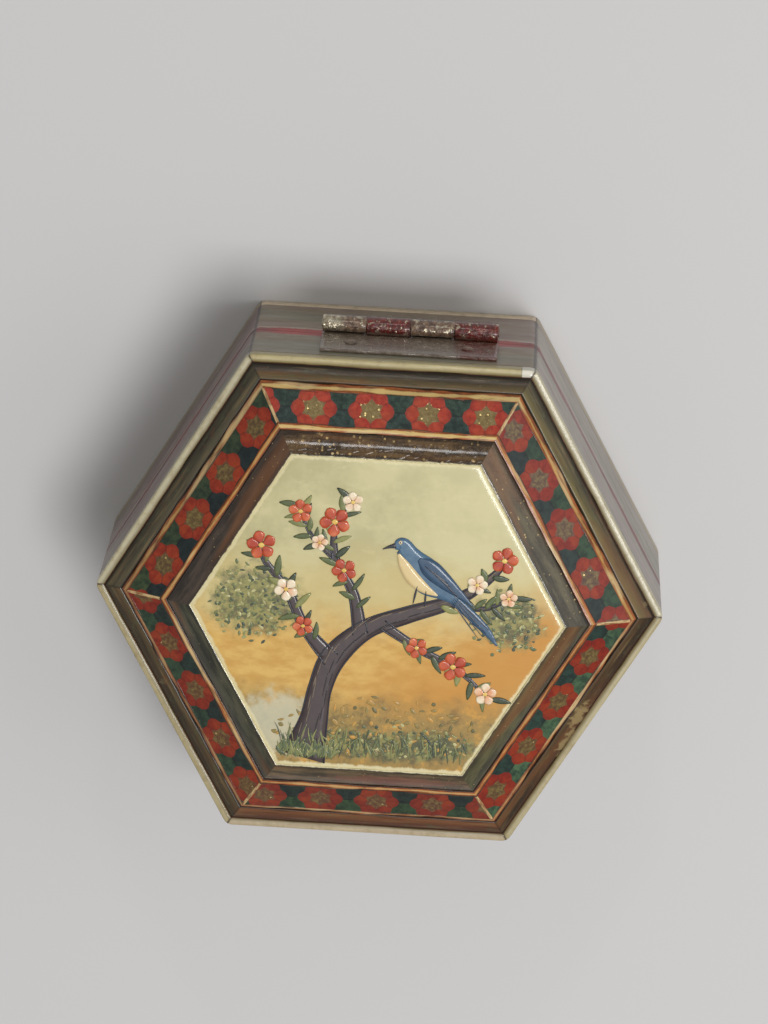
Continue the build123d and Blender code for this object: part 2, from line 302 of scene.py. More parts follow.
# %% Group: place on a side
def side_place(point):
    """Folds a point onto the hinge side, in mm, by turning it by whole sixths of a turn.

    Along runs towards -X, Inset inwards from the side face, Height up from the lid's arris,
    and Mitre is the distance from the nearer mitre plane.
    """
    point = point.scaled(1 / MM)
    x, y, z = point.parts()
    side = ((y.calc("ARCTAN2", x) - math.pi / 2) / SIXTH).calc("ROUND")
    turned = put(point.tree, "ShaderNodeVectorRotate", {"Vector": point, "Angle": side * -SIXTH},
                 rotation_type="Z_AXIS")
    across, outward, _ = turned.parts()
    mitre = (outward * MITRE - abs(across)) * math.cos(SIXTH / 2)
    return across * -1.0, APOTHEM - outward, z - ARRIS, (side + 6.0).calc("MODULO", 6.0), mitre


SIDE_PLACE = make_group("side_place", {"Point": None},
                        ("Along", "Inset", "Height", "Side", "Mitre"), side_place)

# %% [markdown]
# Each of the six sides has its own shade. Part of it is uneven stain and rubbing, and part is
# painted light and shade: each side is painted lighter or darker by how it faces the light. A
# colour ramp with six flat steps picks the shade of the side; a short chain of comparisons does the
# same for a plain number.

# %% One value for each side
def by_side(side, *colours):
    """The side's own colour with its painted light and shade, given from the hinge side on, turning
    towards -X.
    """
    return ((side + 0.5) / 6.0).shades(colours, SIDES / 6, "CONSTANT")


def number_by_side(side, *numbers):
    """The side's own number, in the same order."""
    total = 0.0
    for index, number in enumerate(numbers):
        total = side.calc("COMPARE", float(index), 0.1).calc("MULTIPLY_ADD", number, total)
    return total


def oval(x, y, centre, reach):
    """Distance from a centre, 1 at the reach: the root of the sum of both shares squared."""
    far_x, far_y = (x - centre[0]) / reach[0], (y - centre[1]) / reach[1]
    return (far_x * far_x + far_y * far_y).calc("SQRT")


# %% [markdown]
# ## Streaks that run with a strip
# Bone, stained wood and old lacquer all show fine streaks along the strip. A noise stretched
# along the length gives them, and it needs only the place on the side and a seed, so that
# each strip looks cut from its own piece.

# %% Group: lengthwise streaks
def lengthwise_streaks(along, across, seed, fineness, stretch):
    """Noise with cells Stretch times as long along the side as across it, fine and broad."""
    place = vector_of(along * fineness / stretch, across * fineness, seed * 37.3)
    return place.cloud(1.0, 5.0, 0.62), place.cloud(0.22, 2.0, 0.5)


STREAKS = make_group(
    "lengthwise_streaks",
    {"Along": 0.0, "Across": 0.0, "Seed": 0.0, "Fineness": 2.0, "Stretch": 12.0},
    ("Streak", "Broad"), lengthwise_streaks)

# %% [markdown]
# ## Wear and grime
# Handling rubs a lacquer thin in spots and dirt stays in the low places. Both are broad
# noise with a threshold, so one group gives a mask of worn spots and a softer mask of grime.

# %% Group: wear and grime
def hand_wear(point, amount, size):
    """Worn is where broad noise passes 0.78 less half the amount; grime is finer and softer."""
    sized = put(point.tree, "ShaderNodeVectorMath", {0: point.scaled(1 / MM), 3: size},
                operation="SCALE")
    limit = 0.78 - amount * 0.5
    worn = sized.cloud(0.55, 6.0, 0.65).band(limit, limit + 0.05)
    return worn, sized.cloud(0.9, 5.0, 0.7).band(0.42, 0.75)


HAND_WEAR = make_group("hand_wear", {"Point": None, "Amount": 0.3, "Size": 1.0},
                       ("Worn", "Grime"), hand_wear)

# %% [markdown]
# ## One way to start and end a finish
# Each finish starts with the point in object space and the place on its side, and ends with
# a colour, a roughness, a height for the bump and the old varnish over it, so both ends are
# written once.

# %% Finishes
class Finish:
    """A material under way, with its shader, its point in metres and its place on the side."""

    def __init__(self, name):
        self.material = bpy.data.materials.new(name)
        self.material.use_nodes = True
        self.tree = self.material.node_tree
        self.shader = self.tree.nodes["Principled BSDF"]
        self.point = put(self.tree, "ShaderNodeTexCoord", output="Object")
        self.along, self.inset, self.height, self.side, self.mitre = self.group(SIDE_PLACE)

    def group(self, group, **inputs):
        """Outputs of a group that reads this finish's point."""
        return use_group(self.tree, group, {"Point": self.point, **inputs})

    def streaks(self, across, fineness, stretch, along=None, seed=None):
        """Fine and broad streaks along the side, or along another direction if it is given."""
        inputs = {"Along": along or self.along, "Across": across, "Seed": seed or self.side,
                  "Fineness": fineness, "Stretch": stretch}
        return use_group(self.tree, STREAKS, inputs)

    def attribute(self, name):
        """The number kept on the mesh's points under a name."""
        return put(self.tree, "ShaderNodeAttribute", attribute_name=name, output=2)

    def is_side(self, side):
        """1 on one side, 0 on the others."""
        return self.side.calc("COMPARE", float(side), 0.1)

    def spot(self, side, centre, reach, waver):
        """1 inside a ragged oval on one side, with along and inset of its centre in mm."""
        ragged = vector_of(self.along, self.inset, 0.0).cloud(1.3, 4.0, 0.6) - 0.5
        far = ragged.calc("MULTIPLY_ADD", waver, oval(self.along, self.inset, centre, reach))
        return far.band(0.40, 1.0, 1.0, 0.0) * self.is_side(side)

    def surface(self, colour, roughness, height, bump, depth,
                coat=0.0, coat_roughness=0.03, shine=0.5, metallic=None):
        """Joins all to the shader: bump of a depth in mm, and the coat of varnish on top."""
        normal = put(self.tree, "ShaderNodeBump",
                     {"Strength": bump, "Distance": depth * MM, "Height": height})
        given = {"Base Color": colour, "Roughness": roughness, "Normal": normal,
                 "Coat Weight": coat, "Coat Roughness": coat_roughness,
                 "Specular IOR Level": shine, "Metallic": metallic}
        for key, value in given.items():
            fill(self.shader.inputs[key], value)
        return self.material


def dress(material, *names):
    """Gives the named CAD nodes this material."""
    for name in names:
        piece = nodes[name]
        piece.data.materials.clear()
        piece.data.materials.append(material)
    print(material.name, "on", len(names), "pieces")


# %% [markdown]
# ## Strips laid by hand
# On the real box the edging, border, stringing and moulding are thin strips, each planed to
# its own profile, mitred at the six corners and glued down one by one, so no edge runs quite
# straight. A straight extrusion would look machined. Here a strip is a grid: one direction
# runs along the side, the other round the profile, every row ends on the mitre plane, and a
# slow wander moves each edge a few hundredths of a millimetre.

# %% Making pieces from computed points
def make_piece(name, points, faces, body, values=None, stands_for=()):
    """Object from points in mm and face corners, riding a body, with values on its points."""
    mesh = bpy.data.meshes.new(name)
    mesh.from_pydata((points.reshape(-1, 3) * MM).tolist(), [], faces)
    mesh.shade_smooth()
    for label, numbers in (values or {}).items():
        layer = mesh.attributes.new(label, "FLOAT", "POINT")
        layer.data.foreach_set("value", np.ascontiguousarray(numbers, dtype=np.float32).ravel())
    piece = bpy.data.objects.new(name, mesh)
    bpy.context.scene.collection.objects.link(piece)
    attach(piece, body)
    if stands_for:
        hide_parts(*stands_for)
    print(name, len(mesh.vertices), "points,", len(mesh.polygons), "faces")
    return piece


def quads_of(number, wrap_columns=False):
    """Four-cornered faces of a grid of point numbers, row by row."""
    beside = np.roll(number, -1, axis=-1)
    corners = (number[..., :-1, :], beside[..., :-1, :], beside[..., 1:, :], number[..., 1:, :])
    quads = np.stack(corners, axis=-1)
    return quads if wrap_columns else quads[..., :-1, :]


# %% Six mitred strips
STRIP_ROWS = 97


def wander(t, side, seed):
    """Three sines of growing pace along a side, fading out towards its ends."""
    phase = 1.7 * side + 2.3 * seed
    waves = ((0.5, 6.1, 1.0), (0.3, 15.7, 2.1), (0.2, 33.0, 3.3))
    slow = sum(size * np.sin(pace * t + turn * phase) for size, pace, turn in waves)
    return slow * (1 - np.abs(t) ** 6)


def six_strips(name, profile, wanders, seeds, body, stands_for, corner=0.0):
    """Six mitred strips. profile lists inset and height above the lid's arris in mm.

    A row's inset is the profile's plus wander times its size; its place along the side is
    t times the half length at that inset, so both ends lie on the mitre planes. Near the
    ends, points that stood on the side face follow an arc of the corner's radius.
    """
    t = np.sin(np.linspace(-math.pi / 2, math.pi / 2, STRIP_ROWS))[None, :, None]
    side = SIDES[:, None, None]
    inset, height = np.array(profile).T
    moved = inset + np.array(wanders) * wander(t, side, np.array(seeds))
    if corner:
        start = 1 - corner / APOTHEM
        turn = np.clip((np.abs(t) - start) / (1 - start), 0, 1) * corner / 2
        moved = np.maximum(moved, corner - np.sqrt(corner**2 - turn**2))
    outward = APOTHEM - moved
    across = t * outward * MITRE
    angle = side * SIXTH
    x = across * np.cos(angle) - outward * np.sin(angle)
    y = across * np.sin(angle) + outward * np.cos(angle)
    z = np.broadcast_to(ARRIS + height, x.shape)
    number = np.arange(x.size).reshape(x.shape)
    faces = quads_of(number, True).reshape(-1, 4).tolist()
    faces += number[:, -1].tolist() + number[:, 0, ::-1].tolist()
    share = np.broadcast_to((inset - inset.min()) / np.ptp(inset), x.shape)
    return make_piece(name, np.stack((x, y, z), axis=-1), faces, body,
                      {"across": share}, stands_for)


def rounded_section(low, high, outer_height, inner_height, swell, feet, steps=7):
    """Section from an outer to an inner inset: a back raised by a half sine, over two feet."""
    share = np.linspace(1, 0, steps)
    rise = outer_height + (inner_height - outer_height) * share + swell * np.sin(math.pi * share)
    back = np.column_stack((low + (high - low) * share, rise)).tolist()
    return [(high, feet[1]), *back, (low, feet[0])]


# %% [markdown]
# ## Bone strips
# The arrises are edged with thin sawn bone: creamy yellow, streaked along its length, and darker at
# its foot, where dirt and old varnish have soaked in. The back strip of the lid is pieced out with
# a short block, painted whiter both for its paler bone and as a painted highlight. Streaks from the
# group above and a slightly shiny surface are enough.

# %% Bone finish
BONE_WIDTH = 0.9
BLOCK_START = APOTHEM * MITRE - 1.6


def build_bone():
    """Cream bone, streaked lengthwise, darker at its foot, with a whiter pieced-in end that is
    partly a painted highlight.
    """
    it = Finish("polished_bone")
    streak, broad = it.streaks(it.inset + it.height, 3.0, 20.0)
    grime = it.group(HAND_WEAR, Amount=0.25)[1]
    on_base = it.height.band(-16.0, -15.0, 1.0, 0.0)
    on_lid, at_hinge = 1.0 - on_base, it.is_side(0)
    foot = (it.inset + broad * 0.3).band(BONE_WIDTH - 0.42, BONE_WIDTH + 0.08, 0.0, 0.80)
    block = it.along.calc("LESS_THAN", -BLOCK_START) * at_hinge * on_lid
    butt = (abs(it.along + BLOCK_START)).band(0.03, 0.10, 0.5, 0.0) * at_hinge * on_lid
    lid_cream = by_side(it.side, (168, 154, 106), (180, 172, 142), (158, 144, 104),
                        (176, 158, 130), (166, 154, 116), (184, 176, 148))
    base_cream = by_side(it.side, (220, 198, 166), *[(158, 142, 114)] * 5)
    cream = layered(
        lid_cream,
        (on_base, base_cream),
        (streak.band(0.40, 0.72, 0.0, 0.35), (206, 196, 160)),
        (streak.band(0.28, 0.42, 0.30, 0.0), (128, 108, 68)),
        (grime * 0.55, (134, 116, 76)),
        (foot, (104, 90, 50)),
        # Pieced-in end block, painted whiter: paler bone, and partly a painted highlight.
        (block * 0.85, (214, 210, 196)),
        (butt, (96, 80, 54)),
        (it.mitre.band(0.03, 0.16, 0.80, 0.0), (60, 48, 36)))
    return it.surface(cream, streak.band(0.3, 0.7, 0.46, 0.32), streak, 0.15, 0.03, coat=0.15)


# %% Bone strips
EASE = 0.14
CORNER_RADIUS = 1.5
LID_BONE_HEIGHT, BASE_BONE_HEIGHT = 1.5, 2.0
BONE_WANDER = (*[0.05] * 4, *[0.0] * 5)


def bone_section(bottom, top):
    """Square section with both upper edges and the lower outer edge eased."""
    ease = 0.3 * EASE
    return [(BONE_WIDTH, bottom), (BONE_WIDTH, top - EASE), (BONE_WIDTH - ease, top - ease),
            (BONE_WIDTH - EASE, top), (EASE, top), (ease, top - ease), (0.0, top - EASE),
            (0.0, bottom + EASE), (EASE, bottom)]


bone = build_bone()
for name, bottom, top, body, node in (
        ("lid_bone_edging", -LID_BONE_HEIGHT, 0.0, "lid", "lid_bone_strips"),
        ("base_bone_edging", -ARRIS, BASE_BONE_HEIGHT - ARRIS, "base", "base_bone_strips")):
    strips = six_strips(name, bone_section(bottom, top), BONE_WANDER, np.ones(9), body,
                        [node], CORNER_RADIUS)
    strips.data.materials.append(bone)

# %% [markdown]
# ## Grey lacquered sides
# The sides are thin veneers under grey lacquer with a slight mauve, pearly cast, and each side is
# painted lighter or darker by how it faces the light, as painted light and shade. The lacquer was
# brushed along the side, is dark along the corners, and the edges at the seam are painted red,
# brightest beside the hinge, with a thin pale line above it.

# %% Side veneers
def build_veneer():
    """Grey lacquer with soft brush marks, painted shade by side, red edge at the seam and dark
    corners.
    """
    it = Finish("grey_lacquer")
    streak, broad = it.streaks(it.height, 0.50, 4.5)
    grime = it.group(HAND_WEAR, Amount=0.20)[1]
    blotch = vector_of(it.along * 0.5, it.height, it.side).cloud(0.55, 5.0, 0.65)
    waver = vector_of(it.along, it.side, it.height * 0.3).cloud(0.5, 4.0, 0.6)
    above_seam = it.height + (ARRIS - SEAM)
    by_hinge = abs(it.along).band(12.0, 16.5, 1.0, 0.0) * it.is_side(0)
    edge = abs(above_seam) - waver * 0.95 - by_hinge * 0.30
    pale = edge.band(0.60, 0.75) * edge.band(1.0, 1.35, 1.0, 0.0)
    smear = edge.band(0.3, 2.4, 0.40, 0.0) * waver.band(0.45, 0.65)
    red = layered(
        by_side(it.side, (128, 34, 28), (96, 34, 30), (104, 36, 30), (104, 36, 30),
                (100, 36, 32), (104, 40, 40)),
        (waver.band(0.35, 0.60, 0.5, 0.0), (64, 24, 22)),
        (by_hinge * 0.8, (178, 36, 24)))
    # Painted light and shade: the grey of each side is lighter where it faces the light, and darker
    # and more mauve where it faces away.
    grey = layered(
        by_side(it.side, (130, 113, 90), (112, 92, 85), (118, 102, 90), (120, 104, 94),
                (126, 112, 100), (146, 136, 126)),
        (streak.band(0.48, 0.72, 0.0, 0.30), (158, 146, 134)),
        (streak.band(0.28, 0.46, 0.35, 0.0), (88, 70, 60)),
        (blotch.band(0.52, 0.68, 0.0, 0.45), (102, 84, 68)),
        (blotch.band(0.34, 0.48, 0.55, 0.0), (144, 138, 114)),
        (broad.band(0.48, 0.64, 0.0, 0.55), (112, 118, 100)),
        (broad.band(0.36, 0.46, 0.35, 0.0), (140, 112, 116)),
        (grime * 0.25, (92, 78, 66)),
        (pale * above_seam.band(-0.1, 0.1, 0.75, 0.10), (184, 160, 146)),
        (edge.band(0.38, 0.70, 1.0, 0.0), red),
        (smear, (130, 60, 54)),
        ((it.mitre - waver * 0.40).band(-0.12, 0.10, 0.85, 0.0), (54, 44, 42)))
    return it.surface(grey, streak.band(0.3, 0.7, 0.44, 0.32), streak, 0.12, 0.05,
                      0.2, 0.25, 0.35)


dress(build_veneer(), "lid_veneers", "base_veneers")

# %% [markdown]
# ## Stained boards
# Inside, the boards are stained a dull brick red, the colour that shows along the seam. The
# wood under it has an open grain, so the stain is darker in the pores.

# %% Carcase boards
def build_stained_wood(name, one_board):
    """Brick red stain over fine straight grain, along each side or, for one board, along X."""
    it = Finish(name)
    across, along, seed = it.height + it.inset, it.along, it.side
    if one_board:
        along, across, _ = it.point.scaled(1 / MM).parts()
        seed = 7.0
    streak, _ = it.streaks(across, 2.6, 22.0, along, seed)
    worn, grime = it.group(HAND_WEAR, Amount=0.2)
    red = layered(
        (78, 26, 20),
        (streak.band(0.32, 0.66), (122, 46, 34)),
        (grime * 0.4, (60, 26, 20)),
        (worn * 0.6, (150, 98, 64)))
    return it.surface(red, streak.band(0.3, 0.7, 0.55, 0.40), streak, 0.3, 0.06)


dress(build_stained_wood("red_stained_walls", False), *[name for name in nodes if "_wall_" in name])
dress(build_stained_wood("red_stained_boards", True), "base_floor", "lid_board", "lid_crown_block")

# %% [markdown]
# ## Dark border strips
# Between bone and mosaic lies a strip of dark, oiled hardwood: almost black-brown next to the bone,
# more coppery towards the stringing, with long streaks, and rubbed pale in a few spots at the edge.
# The dark outer half next to the bone is painted shade on the rounded strip as well as darker wood.

# %% Border strips
BORDER_OUTER, BORDER_INNER = BONE_WIDTH, 2.7


def build_border():
    """Its own brown on each side, painted shade on its outer half, thin dark edges, long streaks,
    rubbed spots.
    """
    it = Finish("dark_border_wood")
    streak, broad = it.streaks(it.inset, 2.6, 16.0)
    worn, _ = it.group(HAND_WEAR, Amount=0.30, Size=0.8)
    mottle = vector_of(it.along, it.inset * 2.2, it.side).cloud(0.75, 4.0, 0.65)
    level = it.inset + broad * 0.8
    edges = (it.inset - BORDER_OUTER).calc("MINIMUM", BORDER_INNER - it.inset)
    worn_through = it.spot(4, (1.3, 1.7), (2.0, 0.9), 3.0).calc(
        "MAXIMUM", it.spot(4, (-2.2, 1.2), (2.2, 0.6), 3.0))
    dark = by_side(it.side, (44, 36, 24), (58, 54, 42), (58, 48, 34), (82, 46, 28),
                   (38, 28, 18), (54, 48, 28))
    light = by_side(it.side, (100, 84, 56), (84, 78, 60), (86, 70, 48), (120, 78, 50),
                    (86, 64, 38), (110, 98, 52))
    wood = layered(
        dark,
        # Painted shade: dark on the outer half next to the bone, lighter brown only towards the
        # stringing.
        (level.band(BORDER_OUTER + 0.7, BORDER_INNER + 0.3), light),
        (streak.band(0.50, 0.74, 0.0, 0.50), (136, 114, 78)),
        (streak.band(0.30, 0.46, 0.60, 0.0), (34, 26, 18)),
        (mottle.band(0.54, 0.70, 0.0, 0.50), (74, 82, 56)),
        (mottle.band(0.30, 0.44, 0.50, 0.0), (96, 58, 34)),
        (broad.band(0.52, 0.64) * 0.4, (118, 72, 40)),
        (edges.band(0.08, 0.34, 0.85, 0.0), (26, 20, 14)),
        (worn * it.inset.band(1.0, 1.9, 0.35, 0.10), (150, 132, 90)),
        (worn_through * 0.65, (156, 136, 92)),
        (it.mitre.band(0.02, 0.20, 0.50, 0.0), (34, 27, 20)))
    return it.surface(wood, streak.band(0.3, 0.7, 0.40, 0.26), streak, 0.25, 0.05,
                      0.18, 0.22, 0.3)


border_strips = six_strips(
    "border_strips",
    rounded_section(BORDER_OUTER + 0.02, BORDER_INNER, 0.0, 1.0, 0.17, (-0.2, -0.2)),
    (0.05, *np.linspace(0.05, 0.02, 7), 0.05), np.ones(9), "lid",
    ["lid_border_strips"])
border_strips.data.materials.append(build_border())

# %% [markdown]
# ## Stringing
# The lines beside the mosaic are thin strips laid by hand: a pale core between two orange
# brown edges, never quite straight. Each strip wanders a little, and the core's width
# changes with a slow noise, by the place across the strip that is kept on every point.

# %% Stringing
KHATAM_OUTER, KHATAM_INNER = 3.3, 6.7
MOULDING_OUTER = 7.3


def build_stringing(name, core_shares):
    """Pale core between amber edges, by each point's own place across the strip."""
    it = Finish(name)
    streak, broad = it.streaks(it.inset, 5.0, 8.0)
    slow = vector_of(it.along, it.side, 3.0).cloud(0.38, 4.0, 0.65)
    from_middle = abs(it.attribute("across") - 0.5) * 2.0
    core = number_by_side(it.side, *core_shares) + (slow - 0.5) * 0.9
    past = from_middle - number_by_side(it.side, 0.74, 0.52, 0.46, 0.46, 0.46, 0.60)
    amber = layered((112, 56, 22), (streak.band(0.35, 0.65), (168, 92, 38)))
    line = layered(
        by_side(it.side, (206, 176, 112), (184, 142, 84), (182, 142, 90), (190, 150, 98),
                (180, 134, 78), (182, 138, 76)),
        ((from_middle - core).band(-0.14, 0.14), amber),
        (broad.band(0.54, 0.68, 0.0, 0.5), (222, 202, 150)),
        (streak.band(0.30, 0.44, 0.6, 0.0), (98, 60, 28)),
        (past.band(0.0, 0.26, 0.0, 0.90), (38, 24, 14)))
    return it.surface(line, 0.36, streak, 0.25, 0.04, 0.25, 0.15, 0.35)


STRING_WANDER = np.array((0.0, *np.full(7, 0.13), 0.0))
STRING_SEEDS = np.array((0.0, *np.linspace(2.2, 3.4, 7)[::-1], 0.0))
outer_line = six_strips(
    "outer_stringing",
    rounded_section(BORDER_INNER - 0.06, KHATAM_OUTER + 0.16, 0.96, 2.10, 0.05, (0.7, 1.6)),
    STRING_WANDER, STRING_SEEDS, "lid",
    ["outer_stringing_amber", "outer_stringing_pale"])
outer_line.data.materials.append(
    build_stringing("outer_double_line", (0.36, 0.26, 0.20, 0.22, 0.20, 0.24)))
inner_line = six_strips(
    "inner_line",
    rounded_section(KHATAM_INNER - 0.10, MOULDING_OUTER + 0.04, 4.10, 4.37, 0.07, (3.8, 4.0)),
    0.7 * STRING_WANDER, STRING_SEEDS + 2.0, "lid", ["inner_stringing"])
inner_line.data.materials.append(
    build_stringing("inner_line", (0.42, 0.30, 0.22, 0.26, 0.20, 0.20)))


# %% Line on the mitres
def build_mitre_line():
    """Thin pale line with amber streaks, across the ends of the mosaic slices."""
    it = Finish("mitre_line")
    mottle = vector_of(it.inset, it.side, it.mitre * 3.0).cloud(1.6)
    line = layered(
        (140, 96, 54),
        (mottle.band(0.35, 0.62), (204, 174, 122)),
        (it.mitre.band(0.10, 0.18, 0.0, 0.7), (70, 48, 30)))
    return it.surface(line, 0.34, mottle, 0.2, 0.04, 0.4)


dress(build_mitre_line(), "mitre_stringing")

# %% [markdown]
# ## Khatam mosaic
# Khatam is sliced from a bundle of thin dyed rods. Seen close, each rosette is six red
# rhombs round a star, and the gaps are wedges of green rods, lighter at the outside of the
# slice and blue-green at the inside. The wedges, rosettes and stars are separate pieces in
# the frame; their finish adds the rods' joints and the uneven dye.

# %% Group: place on a mosaic slice
KHATAM_RISE_OUTER, KHATAM_RISE_INNER = 2.0, 4.15
PITCH = 6.4
SLICE_START = (0.31, 0.40, -0.10, 0.15, 0.32, -0.16)


def slice_place(point):
    """Place within one rosette: X along, Y up the slope, both in mm from its centre.

    Turn is the angle in sixths of a turn, and Number tells every rosette from the others.
    """
    along, inset, _, side, _ = use_group(point.tree, SIDE_PLACE, {"Point": point})
    run, rise = KHATAM_INNER - KHATAM_OUTER, KHATAM_RISE_INNER - KHATAM_RISE_OUTER
    from_start = along - number_by_side(side, *[share * PITCH for share in SLICE_START])
    number = (from_start / PITCH).calc("ROUND")
    x = from_start - number * PITCH
    y = (inset - (KHATAM_OUTER + KHATAM_INNER) / 2) * (math.hypot(run, rise) / run)
    radius = (x * x + y * y).calc("SQRT")
    turn = y.calc("ARCTAN2", x) / SIXTH
    return x, y, radius, turn, side.calc("MULTIPLY_ADD", 9.0, number), side


SLICE_PLACE = make_group("slice_place", {"Point": None},
                         ("X", "Y", "Radius", "Turn", "Number", "Side"), slice_place)


# %% Rosettes
def any_number(whole):
    """Chance number from 0 to 1 that belongs to a whole number."""
    return put(whole.tree, "ShaderNodeTexWhiteNoise", {"W": whole}, noise_dimensions="1D")


def build_rosette():
    """Orange red rhombs, each a little different, with faint dark joints and a deeper rim."""
    it = Finish("khatam_red")
    x, y, radius, turn, number, side = it.group(SLICE_PLACE)
    spin = turn - 0.5
    from_joint = abs(spin - spin.calc("ROUND")) * radius
    mottle = vector_of(x, y, number).cloud(1.5, 5.0, 0.65)
    dirt = vector_of(x, y, number).cloud(3.0, 2.0)
    each = any_number(number.calc("MULTIPLY_ADD", 7.0, turn.calc("FLOOR")))
    deep = by_side(side, (140, 32, 18), (122, 36, 22), (114, 32, 18), (104, 32, 20),
                   (106, 26, 16), (112, 28, 18))
    bright = by_side(side, (172, 54, 24), (150, 56, 32), (142, 48, 26), (130, 46, 28),
                     (136, 40, 22), (140, 42, 24))
    red = layered(
        deep,
        (mottle.band(0.32, 0.68), bright),
        (each.band(0.2, 1.0, 0.0, 0.40), (160, 68, 32)),
        (radius.band(1.9, 2.6, 0.0, 0.55), (112, 30, 24)),
        (from_joint.band(0.01, 0.14, 0.45, 0.0), (74, 20, 14)),
        (dirt.band(0.66, 0.74, 0.0, 0.5), (70, 34, 28)))
    return it.surface(red, mottle.band(0.3, 0.7, 0.38, 0.26), mottle, 0.25, 0.05,
                      0.20, 0.12, 0.3)


dress(build_rosette(), "khatam_rosettes")

# %% Stars
RODS_PER_MM = 2.1


def build_star():
    """Olive heart of fine rods, some of them brass, many more on the hinge side as painted glints,
    sinking into the red at the star's rim.
    """
    it = Finish("khatam_star")
    x, y, radius, _, number, side = it.group(SLICE_PLACE)
    grain = vector_of(x, y, number).cloud(2.4, 4.0, 0.65)
    layer = (number + 0.5) / RODS_PER_MM
    from_rod = put(it.tree, "ShaderNodeTexVoronoi",
                   {"Vector": vector_of(x, y, layer), "Scale": RODS_PER_MM, "Randomness": 0.55})
    lot, _, _ = from_rod.beside(1).parts()
    # Many more brass rods on the hinge side than on the others: real brass, made more numerous
    # there as painted glints.
    brass_and_glint_rods = lot.calc("GREATER_THAN", number_by_side(side, 0.42, 0.90, 0.92, 0.94, 0.92, 0.92))
    brass = from_rod.band(0.18, 0.28, 1.0, 0.0) * brass_and_glint_rods * radius.band(0.25, 0.50)
    rim = radius.band(0.9, 1.4) * (1.0 - brass)
    star = layered(
        by_side(side, (112, 90, 36), (84, 62, 34), (92, 58, 28), (88, 52, 30), (84, 60, 30),
                (78, 50, 28)),
        (grain.band(0.40, 0.70, 0.0, 0.6), (138, 122, 66)),
        (grain.band(0.28, 0.42, 0.6, 0.0), (56, 44, 28)),
        # Brass rods, on the hinge side partly painted glints.
        (brass, (244, 216, 146)),
        (rim * number_by_side(side, 0.50, 0.75, 0.75, 0.80, 0.75, 0.75), (110, 52, 34)))
    return it.surface(star, grain.band(0.3, 0.7, 0.34, 0.20), grain, 0.6, 0.06,
                      0.30, 0.12, metallic=brass * 0.85)


dress(build_star(), "khatam_stars")

# %% Green wedges
ROD_ROW = 0.67


def build_wedges(name, darks, lights):
    """Green rods in rows, dark along the row where outer and inner wedge meet."""
    it = Finish(name)
    x, y, _, _, number, side = it.group(SLICE_PLACE)
    lines = 0.0
    for turn in (0.0, SIXTH, 2 * SIXTH):
        run = x.calc("MULTIPLY_ADD", math.sin(turn), y * math.cos(turn))
        saw = abs((run / ROD_ROW).calc("FRACT") - 0.5)
        lines = saw.band(0.42, 0.50).calc("MAXIMUM", lines)
    mottle = vector_of(x, y, number).cloud(1.1, 4.0, 0.6)
    each = any_number(number.calc("MULTIPLY_ADD", 2.0, x.calc("SIGN")).calc("FLOOR"))
    green = layered(
        by_side(side, *darks),
        (mottle.band(0.32, 0.68), by_side(side, *lights)),
        (each.band(0.3, 1.0, 0.0, 0.30), (26, 36, 38)),
        (lines * 0.22, (20, 28, 26)),
        (abs(y).band(0.03, 0.14, 0.75, 0.0), (18, 22, 24)))
    return it.surface(green, mottle.band(0.3, 0.7, 0.38, 0.26), lines, 0.15, 0.03,
                      0.20, 0.12, 0.3)


outer_green = build_wedges(
    "khatam_green",
    ((20, 38, 30), (36, 50, 34), (32, 50, 36), (30, 48, 32), (40, 62, 46), (28, 46, 34)),
    ((38, 64, 50), (66, 80, 52), (56, 78, 56), (56, 78, 50), (76, 102, 72), (52, 76, 52)))
dress(outer_green, "khatam_wedges_outer")
inner_green = build_wedges(
    "khatam_blue_green",
    ((20, 36, 32), (20, 28, 30), (24, 36, 32), (20, 30, 28), (24, 40, 36), (20, 32, 32)),
    ((38, 60, 52), (38, 50, 48), (42, 58, 50), (38, 52, 44), (44, 66, 56), (38, 54, 50)))
dress(inner_green, "khatam_wedges_inner")

# %% [markdown]
# ## Inner mouldings
# The slope that rises from mosaic to panel is a dark polished moulding. Its varnish has crazed, and
# gold-brown streaks run along it, which sparkle where the light catches them. It is painted darker
# towards both edges, a painted highlight along its middle, and its pale rim at the panel is partly
# a painted highlight.

